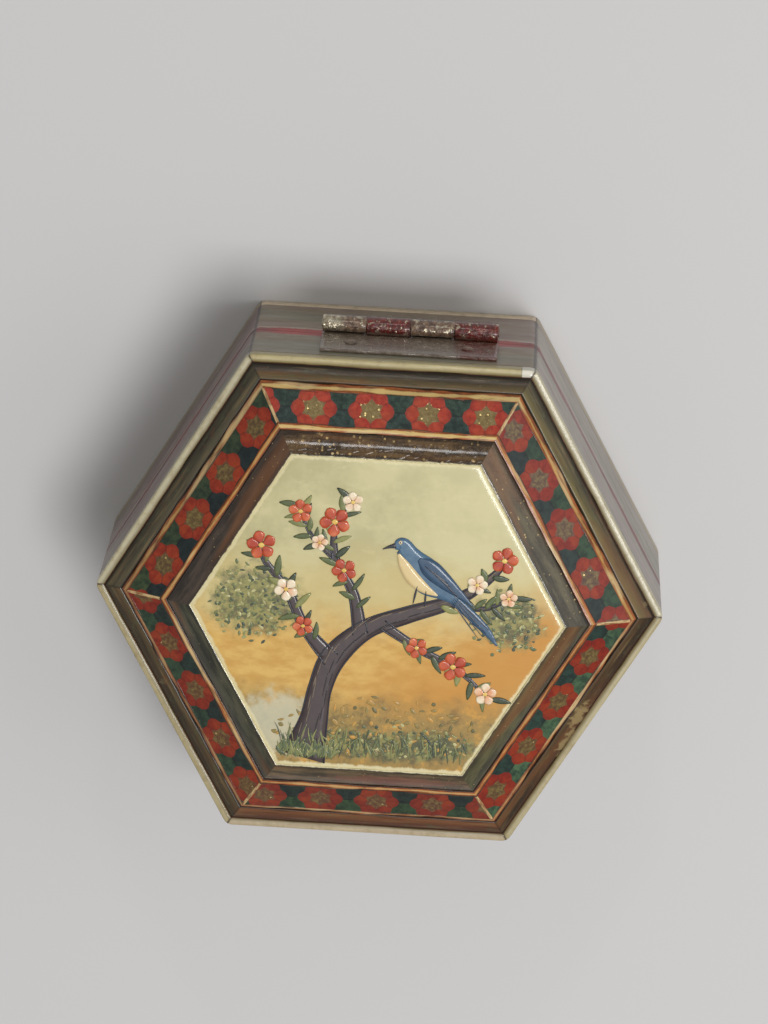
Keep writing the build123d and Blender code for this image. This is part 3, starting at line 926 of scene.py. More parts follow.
# %% Mouldings
def build_moulding():
    """Dark glossy brown of its own on each side, darker edges for a painted highlight along the
    middle, gold flakes, crazed varnish, pale rim that is partly a painted highlight.
    """
    it = Finish("dark_moulding")
    streak, broad = it.streaks(it.inset, 1.7, 7.0)
    middle = abs(it.inset - (MOULDING_OUTER + PANEL_INSET) / 2)
    bronze = broad.band(0.50, 0.66, 0.0, 0.55) * middle.band(0.5, 1.0, 1.0, 0.3)
    rosy = it.spot(3, (3.0, 8.3), (10.0, 0.9), 0.9) * 0.55
    flake_places = vector_of(it.along * 0.8, it.inset, it.side)
    from_flake = put(it.tree, "ShaderNodeTexVoronoi", {"Vector": flake_places, "Scale": 2.2})
    flake_size = number_by_side(it.side, 0.30, 0.14, 0.10, 0.12, 0.12, 0.20)
    patchy = vector_of(it.along, it.inset, it.side).cloud(0.5, 3.0, 0.6)
    flake = (flake_size - from_flake).band(0.0, 0.05) * patchy.band(0.46, 0.60)
    waver = vector_of(it.along, it.side, 5.0).cloud(0.9, 4.0, 0.65)
    rim = (it.inset + waver * 0.34).band(PANEL_INSET + 0.02, PANEL_INSET + 0.16)
    from_crack = put(it.tree, "ShaderNodeTexVoronoi", {"Vector": flake_places, "Scale": 1.6},
                     feature="DISTANCE_TO_EDGE")
    crazing = number_by_side(it.side, 2.0, 0.15, 0.12, 0.12, 0.12, 0.4)
    height = (from_crack.band(0.0, 0.15) + patchy).calc("MULTIPLY_ADD", crazing, streak)
    dark = by_side(it.side, (46, 33, 20), (42, 36, 30), (40, 40, 30), (54, 46, 32),
                   (48, 46, 30), (50, 44, 30))
    light = by_side(it.side, (104, 80, 50), (78, 66, 56), (80, 78, 60), (106, 88, 62),
                    (92, 88, 58), (90, 82, 58))
    brown = layered(
        dark,
        (streak.band(0.34, 0.66), light),
        # Painted highlight: darker towards both edges, so the middle of the moulding reads lit.
        (middle.band(0.75, 1.20, 0.0, 0.80), (30, 24, 18)),
        (bronze, (124, 78, 42)),
        (rosy, (128, 76, 60)),
        (flake * 0.75, (206, 176, 118)),
        # Pale rim at the panel: partly pale edge colour, partly a painted highlight where the edge
        # catches light.
        (rim, (214, 204, 162)))
    return it.surface(brown, streak.band(0.3, 0.7, 0.30, 0.18), height, 0.5, 0.06,
                      0.5, 0.09, 0.35)


mouldings = six_strips(
    "rising_mouldings",
    rounded_section(MOULDING_OUTER, PANEL_INSET + 0.05, 4.33, 6.04, 0.20, (4.0, 5.6), 9),
    (0.05, *np.linspace(0.03, 0.05, 9)[::-1], 0.04), np.full(11, 5.0), "lid",
    ["inner_mouldings"])
mouldings.data.materials.append(build_moulding())

# %% [markdown]
# ## Painted plate
# The panel is a thin plate painted in body colour and varnished until its edge is round: a
# cream sky, ochre ground that turns orange to the lower right, soft shrubs and a mossy strip
# along the bottom. The soft ground belongs in the plate's own finish; the plate itself is
# computed, ring by ring, so that its face swells a little and its rim rolls over.

# %% Plate shape
PLATE_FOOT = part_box("painted_panel")[0][2] / MM
RIM_WIDTH, RIM_DROP = 0.50, 0.26


def plate_height(x, y):
    """Height of the varnished face in mm: level, with a faint swell from rubbing by hand."""
    slow = 0.010 * np.sin(0.31 * x + 0.5) * np.cos(0.27 * y)
    return PANEL_TOP - 0.03 + slow + 0.006 * np.sin(0.83 * x - 0.6 * y)


def build_plate():
    """Rings of hexagons from the middle to the rim, which a quarter ellipse rolls over."""
    rim_rings = 1 - (RIM_WIDTH / PANEL_APOTHEM) * np.linspace(0.9, 0, 8)
    rings = np.concatenate((np.linspace(0.04, 0.95, 24), rim_rings))
    t = np.linspace(1, -1, 25)[:-1]
    angle = np.repeat(SIDES * SIXTH, t.size)
    along = np.tile(t, 6) * MITRE
    x = rings[:, None] * (along * np.cos(angle) - np.sin(angle)) * PANEL_APOTHEM
    y = rings[:, None] * (along * np.sin(angle) + np.cos(angle)) * PANEL_APOTHEM
    near_rim = np.clip(1 - (1 - rings) * PANEL_APOTHEM / RIM_WIDTH, 0, 1)
    drop = RIM_DROP * (1 - np.sqrt(1 - near_rim**2))
    face = np.stack((x, y, plate_height(x, y) - drop[:, None]), axis=-1)
    foot = face[-1:] * (1, 1, 0) + (0, 0, PLATE_FOOT)
    middle = np.array([[0, 0, plate_height(0.0, 0.0)], [0, 0, PLATE_FOOT]])
    points = np.concatenate((face.reshape(-1, 3), foot.reshape(-1, 3), middle))
    number = np.arange(len(points) - 2).reshape(-1, angle.size)
    quads = quads_of(number, True)[..., [0, 3, 2, 1]].reshape(-1, 4)
    beside = np.roll(number, -1, axis=1)
    top, bottom = len(points) - 2, len(points) - 1
    fans = [[top, a, b] for a, b in zip(number[0].tolist(), beside[0].tolist())]
    fans += [[bottom, b, a] for a, b in zip(number[-1].tolist(), beside[-1].tolist())]
    return make_piece("varnished_plate", points, quads.tolist() + fans, "lid",
                      stands_for=["painted_panel"])


# %% Plate ground
SHRUBS = (((-13.8, 1.2), (6.0, 4.8)), ((14.8, 0.4), (4.4, 3.8)), ((3.0, -15.2), (11.5, 2.2)))
PALE_PATCH = ((-10.5, -13.4), (5.8, 4.4))


def build_panel():
    """Cream to ochre to orange with soft greens, all by place on the plate, with a pale rim that is
    partly a painted highlight.
    """
    it = Finish("painted_ground")
    point = it.point.scaled(1 / MM)
    x, y, _ = point.parts()
    wash = point.cloud(0.20, 4.0, 0.6)
    brush = vector_of(x * 0.45, y, 0.0).cloud(0.9, 5.0, 0.6)
    scrub = vector_of(x, y, 4.0).cloud(0.42, 6.0, 0.72)
    dabs = point.cloud(0.85, 4.0, 0.65)
    ragged = (point.cloud(0.55, 5.0, 0.65) - 0.5) * 1.5
    level = y + (wash - 0.5) * 8.0
    ochre = layered((196, 150, 70), (brush.band(0.35, 0.65), (212, 172, 92)))
    moss = layered(
        (96, 88, 52),
        (scrub.band(0.38, 0.52), (148, 124, 66)),
        (scrub.band(0.54, 0.66), (196, 148, 62)))
    green = layered((74, 80, 54), (dabs.band(0.40, 0.60), (140, 136, 78)))
    waver = vector_of(it.along, it.side, 8.0).cloud(0.9, 4.0, 0.65)
    # Extra width of the pale rim by side, most at the front, where the painted highlight is wider.
    pale_rim_and_highlight_widening = number_by_side(it.side, 0.0, 0.0, 0.10, 0.30, 0.10, 0.20)
    rim = it.inset - waver * (pale_rim_and_highlight_widening + 0.55)

    def patch(centre, reach):
        """1 inside a ragged oval on the plate, softly 0 outside."""
        return (oval(x, y, centre, reach) + ragged).band(0.55, 1.05, 1.0, 0.0)

    ground = layered(
        (178, 170, 124),
        (wash.band(0.35, 0.65), (198, 189, 142)),
        (x.band(-8.0, 14.0, 0.0, 0.45), (212, 203, 156)),
        (brush.band(0.52, 0.70, 0.0, 0.30), (214, 204, 158)),
        (level.band(9.0, 3.0, 0.0, 0.6), (204, 180, 112)),
        (level.band(-3.5, 2.5, 1.0, 0.0), ochre),
        ((x * 0.6 - level).band(4.0, 14.0, 0.0, 0.9), (194, 134, 44)),
        (level.band(-7.5, -12.5) * 0.85, moss),
        *[(patch(*shrub) * 0.90, green) for shrub in SHRUBS],
        # A pale whitish patch at the lower left of the plate.
        (patch(*PALE_PATCH) * 0.70, (200, 198, 172)),
        # Pale rim: partly the cream edge line of the plate, partly a painted highlight where the
        # rounded rim catches light.
        (rim.band(PANEL_INSET - 0.10, PANEL_INSET + 0.22, 0.85, 0.0), (226, 216, 174)))
    return it.surface(ground, brush.band(0.3, 0.7, 0.42, 0.34), brush, 0.10, 0.04,
                      0.45, 0.08, 0.35)


build_plate().data.materials.append(build_panel())

# %% [markdown]
# ## The painting
# The old plates of such boxes carry a small scene in quick brush strokes. A flowering tree
# with a bird is the common one, and it is painted here the way a brush would: each stroke is
# a thin, slightly raised film on the plate, laid along a curve and tapered at its ends. One
# routine turns centre lines and half widths into films, so trunk, leaves, petals and
# feathers differ only in the lines that they are given. A number kept on every point, its
# tone, lets one paint vary from stroke to stroke.

# %% Brush strokes
LAYER = 0.004
FILM = 0.015
chance = np.random.default_rng(11)


def smooth_path(rows, steps):
    """Catmull-Rom curve through a few rows, each x, y and half width, with steps samples."""
    rows = np.array(rows, dtype=float)
    padded = np.vstack((2 * rows[0] - rows[1], rows, 2 * rows[-1] - rows[-2]))
    t = np.linspace(0, len(rows) - 1, steps)
    first = np.minimum(t.astype(int), len(rows) - 2)
    f = (t - first)[:, None]
    a, b, c, d = (padded[first + index] for index in range(4))
    cubic = (2 * a - 5 * b + 4 * c - d) * f**2 + (3 * b - a - 3 * c + d) * f**3
    return 0.5 * (2 * b + (c - a) * f + cubic)


def directions(path):
    """Unit directions along curves of x and y, and the same turned to the left."""
    ahead = np.gradient(path, axis=-2)
    ahead /= np.linalg.norm(ahead, axis=-1, keepdims=True)
    return ahead, np.stack((-ahead[..., 1], ahead[..., 0]), axis=-1)


def tapered(places, angles, lengths, widths, bends, fullest=1.0, steps=8):
    """Strokes from their places, turning by bends over their lengths.

    The half width is width * sin(pi * u ** fullest) ** 0.7 along u from 0 to 1, so a
    fullest above 1 moves the widest part towards the far end, as in a petal.
    """
    u = np.linspace(0, 1, steps)
    heading = angles[:, None] + bends[:, None] * u
    pace = (lengths / (steps - 1))[:, None, None]
    move = np.stack((np.cos(heading), np.sin(heading)), axis=2) * pace
    centre = places[:, None] + np.cumsum(move, axis=1) - move[:, :1]
    half = widths[:, None] * np.sin(math.pi * np.clip(u, 0.03, 0.97) ** fullest) ** 0.7
    return centre, half


def paint(name, centre, half, layer, lift, tone, finish):
    """Films of paint riding the lid, from centre lines (strokes, steps, 2) and half widths.

    A point lies half times s to the left of its line and lift * (1 - s * s) over its layer,
    with s from -1 to 1; each later stroke lies a hair higher than the one before. Sizes in mm.
    """
    _, left = directions(centre)
    s = np.linspace(-1, 1, 5)
    flat = centre[:, :, None] + half[:, :, None, None] * s[:, None] * left[:, :, None]
    count, steps, across = flat.shape[:3]
    order = np.arange(count)[:, None, None] / max(count, 40)
    z = plate_height(flat[..., 0], flat[..., 1]) + LAYER * (layer + 3 * order) + lift * (1 - s**2)
    number = np.arange(count * steps * across).reshape(count, steps, across)
    faces = quads_of(number)[..., [0, 3, 2, 1]].reshape(-1, 4).tolist()
    tones = np.broadcast_to(np.reshape(tone, (count, -1, 1)), (count, steps, across))
    piece = make_piece(name, np.concatenate((flat, z[..., None]), axis=-1), faces, "lid",
                       {"tone": tones})
    film = piece.modifiers.new("film_thickness", "SOLIDIFY")
    film.thickness = FILM * MM
    film.offset = -1.0
    piece.data.materials.append(finish)
    return piece


def paint_path(name, rows, layer, lift, tone, finish, steps=60):
    """One stroke along a smooth path of x, y and half width."""
    path = smooth_path(rows, steps)[None]
    return paint(name, path[..., :2], path[..., 2], layer, lift, [tone], finish)


# %% Paints
PAINTS = {
    "bark": ((54, 44, 46), (78, 66, 66), (104, 90, 82)),
    "bark_line": ((36, 30, 34), (56, 46, 46), (148, 130, 108)),
    "leaf": ((52, 62, 44), (88, 98, 56), (142, 142, 84)),
    "shrub": ((58, 70, 58), (96, 106, 68), (140, 140, 84), (190, 182, 130)),
    "petal": ((168, 58, 34), (200, 92, 50), (222, 160, 116), (234, 218, 188)),
    "heart": ((206, 160, 66), (228, 196, 104)),
    "blue": ((48, 72, 98), (72, 102, 128), (108, 136, 152)),
    "ink": ((30, 32, 44), (44, 48, 62)),
    "breast": ((204, 170, 106), (226, 206, 158)),
    "earth": ((96, 92, 56), (148, 126, 68), (196, 146, 66)),
}


def build_paint(name, colours):
    """Body colour shaded by the stroke's tone and by brush streaks, under the varnish."""
    it = Finish(name)
    brush = it.point.scaled(1 / MM).cloud(1.3, 5.0, 0.65)
    value = it.attribute("tone") + (brush - 0.5) * 0.7
    colour = value.shades(colours, np.linspace(0, 1, len(colours)))
    return it.surface(colour, brush.band(0.3, 0.7, 0.44, 0.34), brush, 0.12, 0.04,
                      0.45, 0.08, 0.35)


paints = {name: build_paint(f"{name}_paint", colours) for name, colours in PAINTS.items()}
print("paints mixed:", *paints)


# %% Ground, shrubs and grass
GOLDEN_ANGLE = math.pi * (3 - math.sqrt(5))


def sunflower(count, centre, radii, turn):
    """Places spread evenly in an oval, each the golden angle on, as far as its share's root."""
    order = np.arange(count) + 0.5
    reach = np.sqrt(order / count)
    around = order * GOLDEN_ANGLE + turn
    return np.array(centre) + np.stack(
        (radii[0] * reach * np.cos(around), radii[1] * reach * np.sin(around)), axis=1)


def on_plate(places, margin):
    """True where a place is on the plate, a margin in from its rim."""
    angle = SIDES * SIXTH
    outward = -places[:, :1] * np.sin(angle) + places[:, 1:] * np.cos(angle)
    return outward.max(axis=1) < PANEL_APOTHEM - margin


def dab(name, places, length, width, lean, layer, finish, tones=(0.0, 1.0), margin=1.6):
    """Short strokes of varied length, heading and tone at the places that are on the plate."""
    places = places[on_plate(places, margin)]
    count = len(places)
    angles = math.pi / 2 + lean * chance.uniform(-1, 1, count)
    lengths = length * chance.uniform(0.6, 1.3, count)
    widths = width * chance.uniform(0.6, 1.3, count)
    centre, half = tapered(places, angles, lengths, widths, chance.uniform(-0.8, 0.8, count))
    return paint(name, centre, half, layer, 0.006, chance.uniform(*tones, count), finish)


shrub_places = np.concatenate([
    sunflower(230, (-13.6, 0.8), (5.0, 4.2), 0.0),
    sunflower(150, (14.6, 0.0), (3.9, 3.4), 1.0),
    sunflower(120, (3.0, -15.0), (10.0, 1.9), 2.0)])
shrub_places += chance.normal(0.0, 0.35, shrub_places.shape)
dab("painted_shrubs", shrub_places, 0.55, 0.17, 2.6, 1, paints["shrub"])
earth_places = sunflower(150, (1.0, -13.6), (12.0, 3.6), 0.5) + chance.normal(0.0, 0.4, (150, 2))
dab("painted_ground_strokes", earth_places, 0.8, 0.20, 2.6, 1, paints["earth"])
grass_places = np.stack((chance.uniform(-11.0, 11.0, 110), chance.uniform(-17.0, -15.2, 110)),
                        axis=1)
dab("painted_grass", grass_places, 1.9, 0.085, 0.5, 17, paints["shrub"], (0.0, 0.7), 0.9)
tuft_places = np.stack((chance.uniform(-10.6, -4.2, 90), chance.uniform(-17.3, -16.4, 90)),
                       axis=1)
dab("painted_tufts", tuft_places, 1.5, 0.16, 0.6, 18, paints["shrub"], (0.1, 0.8), 0.8)

# %% Trunk and branches
TRUNK = (
    (-7.6, -17.2, 2.5), (-6.6, -12.8, 1.60), (-6.0, -8.8, 1.30), (-4.6, -5.0, 1.40),
    (-1.2, -1.6, 1.10), (3.4, 0.4, 0.95), (8.6, 2.4, 0.70), (12.4, 5.2, 0.42), (14.8, 8.2, 0.10))
BRANCHES = (
    ((-4.9, -5.4, 0.95), (-8.0, -1.9, 0.62), (-10.2, 2.4, 0.46), (-13.0, 6.0, 0.28),
     (-14.0, 8.8, 0.06)),
    ((-1.8, -2.2, 0.85), (-2.8, 2.4, 0.55), (-5.0, 6.6, 0.40), (-5.2, 10.4, 0.24),
     (-3.6, 13.2, 0.05)),
    ((0.6, -0.9, 0.55), (5.0, -3.6, 0.42), (9.2, -5.6, 0.28), (13.2, -9.0, 0.06)),
    ((-4.6, 6.0, 0.28), (-7.8, 9.0, 0.20), (-9.4, 12.4, 0.05)),
    ((8.4, 2.3, 0.34), (11.8, 1.6, 0.24), (15.2, 3.2, 0.05)),
)
LINE_STEPS = 60
BARK_LINES = 46

paint_path("painted_trunk", TRUNK, 5, 0.012, 0.35, paints["bark"], 90)
for index, rows in enumerate(BRANCHES):
    paint_path(f"painted_branch_{index}", rows, 4, 0.012, 0.30, paints["bark"])


def outlines(name, shapes, layer, width, finish):
    """Thin dark lines along both edges of each stroke, as the painter drew them last."""
    lines, halves = [], []
    for rows in shapes:
        path = smooth_path(rows, LINE_STEPS)
        _, left = directions(path[:, :2])
        for side in (-1, 1):
            lines.append(path[:, :2] + side * path[:, 2:] * left)
            beat = np.sin(np.linspace(0.3, 9, LINE_STEPS) + len(lines)) ** 2
            halves.append(width * (0.7 + 0.5 * beat))
    tone = np.full(len(lines), 0.2)
    return paint(name, np.array(lines), np.array(halves), layer, 0.006, tone, finish)


def bark_strokes(name, layer, finish):
    """Fine lines that follow the trunk, dark on its lower side and pale on its upper side."""
    path = smooth_path(TRUNK, BARK_LINES)
    ahead = np.gradient(path[:, :2], axis=0)
    angle = np.arctan2(ahead[:, 1], ahead[:, 0])
    odd = np.arange(BARK_LINES) % 2
    sides = np.where(odd, 0.55, -0.60) * chance.uniform(0.4, 1.2, BARK_LINES)
    to_left = np.stack((-np.sin(angle), np.cos(angle)), axis=1)
    places = path[:, :2] + (path[:, 2] * sides)[:, None] * to_left
    lengths = chance.uniform(1.2, 2.8, BARK_LINES)
    keep = path[:, 2] > 0.4
    same = np.ones(keep.sum())
    centre, half = tapered(places[keep], angle[keep], lengths[keep], 0.070 * same, 0 * same)
    return paint(name, centre, half, layer, 0.004, np.where(sides > 0, 0.75, 0.1)[keep], finish)


outlines("painted_tree_outlines", (TRUNK, *BRANCHES), 11, 0.085, paints["ink"])
bark_strokes("painted_bark_lines", 13, paints["bark_line"])


# %% Leaves and blossoms
LEAVES = (15, 15, 13, 9, 8, 10)  # on each branch and on the thin end of the trunk
BLOSSOMS = np.array((  # x, y, size and hue, from red to white
    (-13.4, 7.6, 1.55, 0.10), (-10.4, 2.6, 1.25, 0.95), (-5.3, 10.8, 1.60, 0.15),
    (-3.4, 13.2, 1.10, 0.90), (-9.2, 11.8, 1.25, 0.25), (-4.0, 5.2, 1.30, 0.10),
    (13.9, 7.4, 1.45, 0.15), (11.0, 4.4, 1.10, 0.85), (8.8, -5.4, 1.50, 0.10),
    (12.6, -8.4, 1.20, 0.80), (4.6, -3.4, 1.15, 0.20), (-8.3, -1.6, 1.10, 0.20),
    (14.6, 3.0, 0.95, 0.75), (-6.9, 8.3, 0.90, 0.80)))
PETALS = 5


def leaves_along(name, layer, finish):
    """Pairs of leaves up every branch, on alternate sides, pointing forwards and out."""
    places, angles = [], []
    for rows, count in zip((*BRANCHES, TRUNK[5:]), LEAVES):
        path = smooth_path(rows, count + 4)[3:]
        ahead = np.gradient(path[:, :2], axis=0)
        out = np.where(np.arange(len(path)) % 2, 0.95, -0.95)
        lean = out + chance.uniform(-0.25, 0.25, len(path))
        places.append(path[:, :2])
        angles.append(np.arctan2(ahead[:, 1], ahead[:, 0]) + lean)
    places, angles = np.concatenate(places), np.concatenate(angles)
    keep = on_plate(places, 2.2)
    count = keep.sum()
    lengths, widths = chance.uniform(1.5, 2.5, count), chance.uniform(0.26, 0.42, count)
    centre, half = tapered(places[keep], angles[keep], lengths, widths,
                           chance.uniform(-0.5, 0.5, count), 0.85)
    return paint(name, centre, half, layer, 0.008, chance.uniform(0.0, 1.0, count), finish)


def blossoms():
    """Five petals to a blossom, widest towards their tips, then a yellow dot in each heart."""
    places, size, hue = BLOSSOMS[:, :2], BLOSSOMS[:, 2], BLOSSOMS[:, 3]
    count = len(places)
    turn = chance.uniform(0, 2 * math.pi, count)[:, None] + np.arange(PETALS) * 2 * math.pi / PETALS
    toward = np.stack((np.cos(turn), np.sin(turn)), axis=2)
    roots = (places[:, None] + 0.10 * size[:, None, None] * toward).reshape(-1, 2)
    each = np.repeat(size, PETALS)
    bends = chance.uniform(-0.3, 0.3, PETALS * count)
    centre, half = tapered(roots, turn.ravel(), 0.98 * each, 0.44 * each, bends, 1.5, 10)
    varied = chance.uniform(-0.12, 0.12, (PETALS * count, 1))
    tone = np.repeat(hue, PETALS)[:, None] + varied + 0.16 * np.linspace(-1, 1, 10)
    paint("painted_petals", centre, half, 20, 0.006, tone, paints["petal"])
    starts = places - 0.22 * size[:, None] * (1, 0)
    flat = np.zeros(count)
    centre, half = tapered(starts, flat, 0.44 * size, 0.20 * size, flat)
    tone = chance.uniform(0.3, 1, count)
    paint("painted_blossom_hearts", centre, half, 28, 0.012, tone, paints["heart"])


leaves_along("painted_leaves", 16, paints["leaf"])
blossoms()

# %% [markdown]
# The bird is a few broad strokes laid over each other, tail first, then fine ink lines for
# feathers and legs, and last the beak and the eye.

# %% Bird
BIRD = {  # path of x, y and half width, then layer, lift, tone and paint
    "tail": (((7.4, 3.4, 0.55), (9.6, 1.6, 0.62), (12.2, -0.8, 0.50), (13.6, -2.6, 0.10)),
             20, 0.012, 0.25, "blue"),
    "body": (((1.5, 8.3, 0.30), (2.3, 8.5, 0.95), (3.2, 7.5, 1.15), (4.3, 6.0, 1.85),
              (5.8, 4.6, 1.90), (7.4, 3.4, 1.10), (8.8, 2.3, 0.40)), 24, 0.018, 0.55, "blue"),
    "breast": (((2.0, 7.5, 0.15), (2.7, 6.2, 0.62), (3.8, 4.7, 0.80), (5.2, 3.6, 0.55),
                (6.6, 2.9, 0.10)), 30, 0.012, 0.6, "breast"),
    "wing": (((4.3, 7.0, 0.25), (5.5, 6.1, 1.05), (7.2, 4.7, 0.95), (9.2, 3.1, 0.45),
              (10.6, 1.9, 0.06)), 30, 0.014, 0.10, "blue"),
}
BIRD_HEAD = {
    "beak": (((1.65, 8.45, 0.30), (0.9, 8.25, 0.16), (0.2, 7.95, 0.03)), 38, 0.008, 0.5, "ink"),
    "eye_ring": (((1.95, 8.85, 0.05), (2.15, 8.85, 0.24), (2.35, 8.85, 0.05)),
                 38, 0.008, 0.9, "breast"),
    "eye": (((2.06, 8.85, 0.03), (2.15, 8.85, 0.11), (2.24, 8.85, 0.03)), 42, 0.008, 0.1, "ink"),
}


def bird_strokes(strokes, steps):
    """Paints each named stroke of the bird."""
    for part, (rows, layer, lift, tone, colour) in strokes.items():
        paint_path(f"painted_bird_{part}", rows, layer, lift, tone, paints[colour], steps)


def feathers(name, layer, finish):
    """Long thin strokes on wing and tail, fanned a little, and two short ones for the legs."""
    share = np.linspace(0, 1, 6)
    wing = np.stack((5.0 + 2.6 * share, 6.3 - 2.2 * share), axis=1)
    tail = np.stack((8.2 + 0.5 * share[:4], 2.4 + 0.9 * share[:4]), axis=1)
    legs = np.array(((4.3, 3.9), (5.3, 3.4)))
    places = np.concatenate((wing, tail, legs))
    angles = np.concatenate((-0.62 - 0.14 * share, -0.92 + 0.30 * share[:4], (-1.75, -1.60)))
    lengths = np.concatenate((3.4 - 1.2 * share, np.full(4, 5.6), (2.2, 1.9)))
    widths = np.repeat((0.085, 0.075, 0.11), (6, 4, 2))
    centre, half = tapered(places, angles, lengths, widths, np.zeros(len(places)))
    return paint(name, centre, half, layer, 0.006, np.full(len(places), 0.4), finish)


bird_strokes(BIRD, LINE_STEPS)
feathers("painted_feather_lines", 38, paints["ink"])
bird_strokes(BIRD_HEAD, 12)

# %% [markdown]
# ## Hinge
# The hinge is two leaves cut from thin sheet with tongues rolled round a wire. Rolled metal
# shows a gap where the tongue comes back to its leaf, and hand rolling leaves each knuckle a
# little uneven. The sheet is a grid: across the hinge on one side, and on the other down the
# leaf and then round the wire, with a radius that eases from the leaf's plane to the barrel.

# %% Rolled leaves
PIN_Y, PIN_Z = sum(np.array(corner[1:]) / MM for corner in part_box("hinge_pin")) / 2
LEAF_LOW, LEAF_HIGH = (np.array(corner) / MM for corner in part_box("hinge_leaf_lid"))
KNUCKLES = 4
KNUCKLE_GAP = 0.10
SHEET = 0.40
NOTCH = 1.22
ROLL_END = math.radians(312)
LEAF_PLANE = PIN_Y - (APOTHEM + SHEET / 2)
BARREL_MIDDLE = LEAF_HIGH[1] - PIN_Y - SHEET / 2
LEAF_ROWS, NOTCH_ROWS, ROLL_ROWS, COLUMNS = 12, 6, 40, 9


def rolled_leaf(name, up, own, body, node, seed):
    """Leaf and its two rolled knuckles as one sheet; up is 1 for the lid's, -1 for the base's.

    Down the leaf the sheet is flat. From the wire's height on it turns by an angle a, at a
    radius that falls from the leaf's distance to the barrel's over the first quarter turn.
    Rows past the notch line keep only this leaf's own knuckles.
    """
    width = LEAF_HIGH[0] - LEAF_LOW[0]
    pitch = (width + KNUCKLE_GAP) / KNUCKLES
    cells = np.linspace(0, 1, COLUMNS)
    knuckle = np.repeat(np.arange(KNUCKLES), COLUMNS)
    across = np.tile(cells, KNUCKLES)
    x = LEAF_LOW[0] + knuckle * pitch + across * (pitch - KNUCKLE_GAP)
    flat = np.concatenate((np.linspace(LEAF_HIGH[2] - PIN_Z, NOTCH, LEAF_ROWS),
                           np.linspace(NOTCH, 0, NOTCH_ROWS)[1:]))
    turn = np.linspace(0, ROLL_END, ROLL_ROWS)[1:, None]
    ease = np.clip(turn / (math.pi / 2), 0, 1)
    radius = LEAF_PLANE + (BARREL_MIDDLE - LEAF_PLANE) * ease * ease * (3 - 2 * ease)
    dents = (np.sin(2.1 * knuckle + seed + 3 * x / width)
             + 0.6 * np.sin(2.9 * x + 2.0 * turn + seed))
    reach = radius * (1 - 0.016 * (1.6 + dents) * ease)
    y = np.concatenate((np.full((flat.size, x.size), -LEAF_PLANE), -reach * np.cos(turn)))
    z = np.concatenate((np.repeat(flat[:, None], x.size, axis=1), -reach * np.sin(turn)))
    z[:LEAF_ROWS] += 0.05 * np.sin(1.3 * x + seed) * np.linspace(1, 0, LEAF_ROWS)[:, None]
    row = np.arange(len(y))[:, None]
    shrink = 0.03 * np.sin(np.linspace(0, 9, len(y)) + seed)[:, None] * (2 * across - 1)
    points = np.stack((x + shrink * (row > LEAF_ROWS), PIN_Y + y, PIN_Z + up * z), axis=-1)
    in_gap = np.arange(1, x.size) % COLUMNS == 0
    is_own = (knuckle[:-1] % 2 == own) & ~in_gap
    quads = quads_of(np.arange(y.size).reshape(y.shape))[..., [0, 3, 2, 1]]
    quads = quads[(row[:-1] < LEAF_ROWS - 1) | is_own]
    quads = quads[:, ::-1] if up < 0 else quads
    used, renumbered = np.unique(quads, return_inverse=True)
    leaf_piece = make_piece(name, points.reshape(-1, 3)[used],
                            renumbered.reshape(quads.shape).tolist(), body,
                            stands_for=[node])
    sheet = leaf_piece.modifiers.new("sheet_thickness", "SOLIDIFY")
    sheet.thickness = SHEET * MM
    sheet.offset = 0.0
    rim = leaf_piece.modifiers.new("filed_edges", "BEVEL")
    rim.width = 0.07 * MM
    rim.segments = 2
    rim.limit_method = "ANGLE"
    rim.angle_limit = math.radians(50)
    return leaf_piece


lid_leaf = rolled_leaf("rolled_leaf_lid", 1, 0, "lid", "hinge_leaf_lid", 0.4)
base_leaf = rolled_leaf("rolled_leaf_base", -1, 1, "base", "hinge_leaf_base", 2.0)

# %% [markdown]
# The leaves were painted over with the sides and the seam, so little bare metal is left: the
# base's knuckles keep a dull red, the lid's are rubbed back to silvery metal with brown in
# the hollows, and both flat leaves have the grey of the veneers with red running over one end.

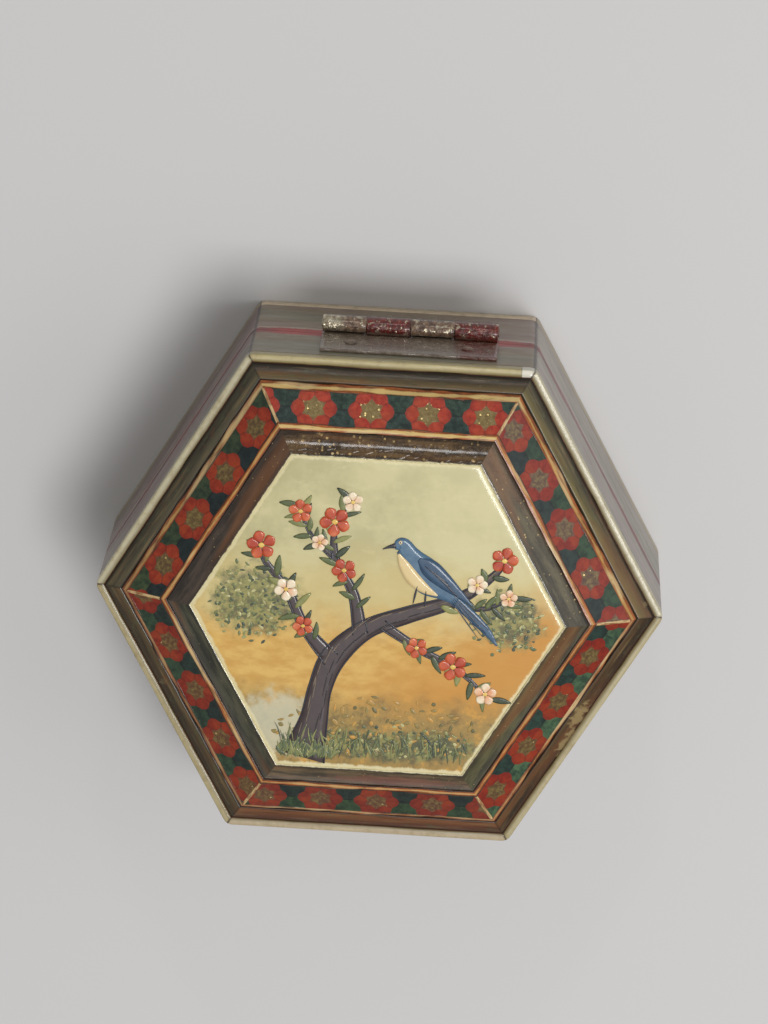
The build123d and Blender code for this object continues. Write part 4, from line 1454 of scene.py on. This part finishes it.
# %% Hinge finish
def build_hinge(name, dark_coat, light_coat, bare_share):
    """Worn metal under remains of lacquer, whose dark and light colours are given; the bare metal
    at the barrel's left end is partly a painted highlight.
    """
    it = Finish(name)
    point = it.point.scaled(1 / MM)
    worn, _ = it.group(HAND_WEAR, Amount=bare_share, Size=2.0)
    fine = point.cloud(1.6, 5.0, 0.6)
    sparkle = point.cloud(2.2, 3.0, 0.6).band(0.57, 0.63, 0.0, 0.9)
    rubbed = point.cloud(0.9, 3.0, 0.6)
    on_barrel = it.inset.band(-0.80, -0.50, 1.0, 0.0)
    # Bare metal at the left end of the barrel: partly wear, partly a painted highlight.
    bare_and_highlit_left_end = it.along.band(5.6, 6.6) * rubbed.band(0.32, 0.45)
    bare = worn.calc("MAXIMUM", sparkle).calc("MAXIMUM", bare_and_highlit_left_end) * on_barrel
    red_end = it.along.band(-6.2, -8.2) * rubbed.band(0.28, 0.5)
    spread = fine.band(0.3, 0.7)
    metal = layered((150, 138, 116), (spread, (214, 204, 178)))
    coat = layered(dark_coat, (fine.band(0.32, 0.68), light_coat))
    colour = layered(
        (100, 86, 74),
        (spread, (128, 114, 98)),
        (red_end * 0.85, (100, 44, 34)),
        (on_barrel, coat),
        (bare, metal))
    return it.surface(colour, fine.band(0.3, 0.7, 0.40, 0.22), fine + rubbed * 2.0, 0.8, 0.16,
                      0.4, 0.12, metallic=bare * 0.9)


red_metal = build_hinge("red_worn_metal", (72, 26, 22), (122, 42, 34), 0.20)
brown_metal = build_hinge("bare_worn_metal", (80, 58, 46), (138, 110, 88), 0.44)
base_leaf.data.materials.append(red_metal)
lid_leaf.data.materials.append(brown_metal)
dress(red_metal, "hinge_brads_base")
dress(brown_metal, "hinge_brads_lid", "hinge_pin")

# %% Floor finish
floor_finish = bpy.data.materials.new("pale_floor")
floor_finish.use_nodes = True
floor_shader = floor_finish.node_tree.nodes["Principled BSDF"]
floor_shader.inputs["Base Color"].default_value = tint(204, 203, 203)
floor_shader.inputs["Roughness"].default_value = 0.9
floor.data.materials.append(floor_finish)
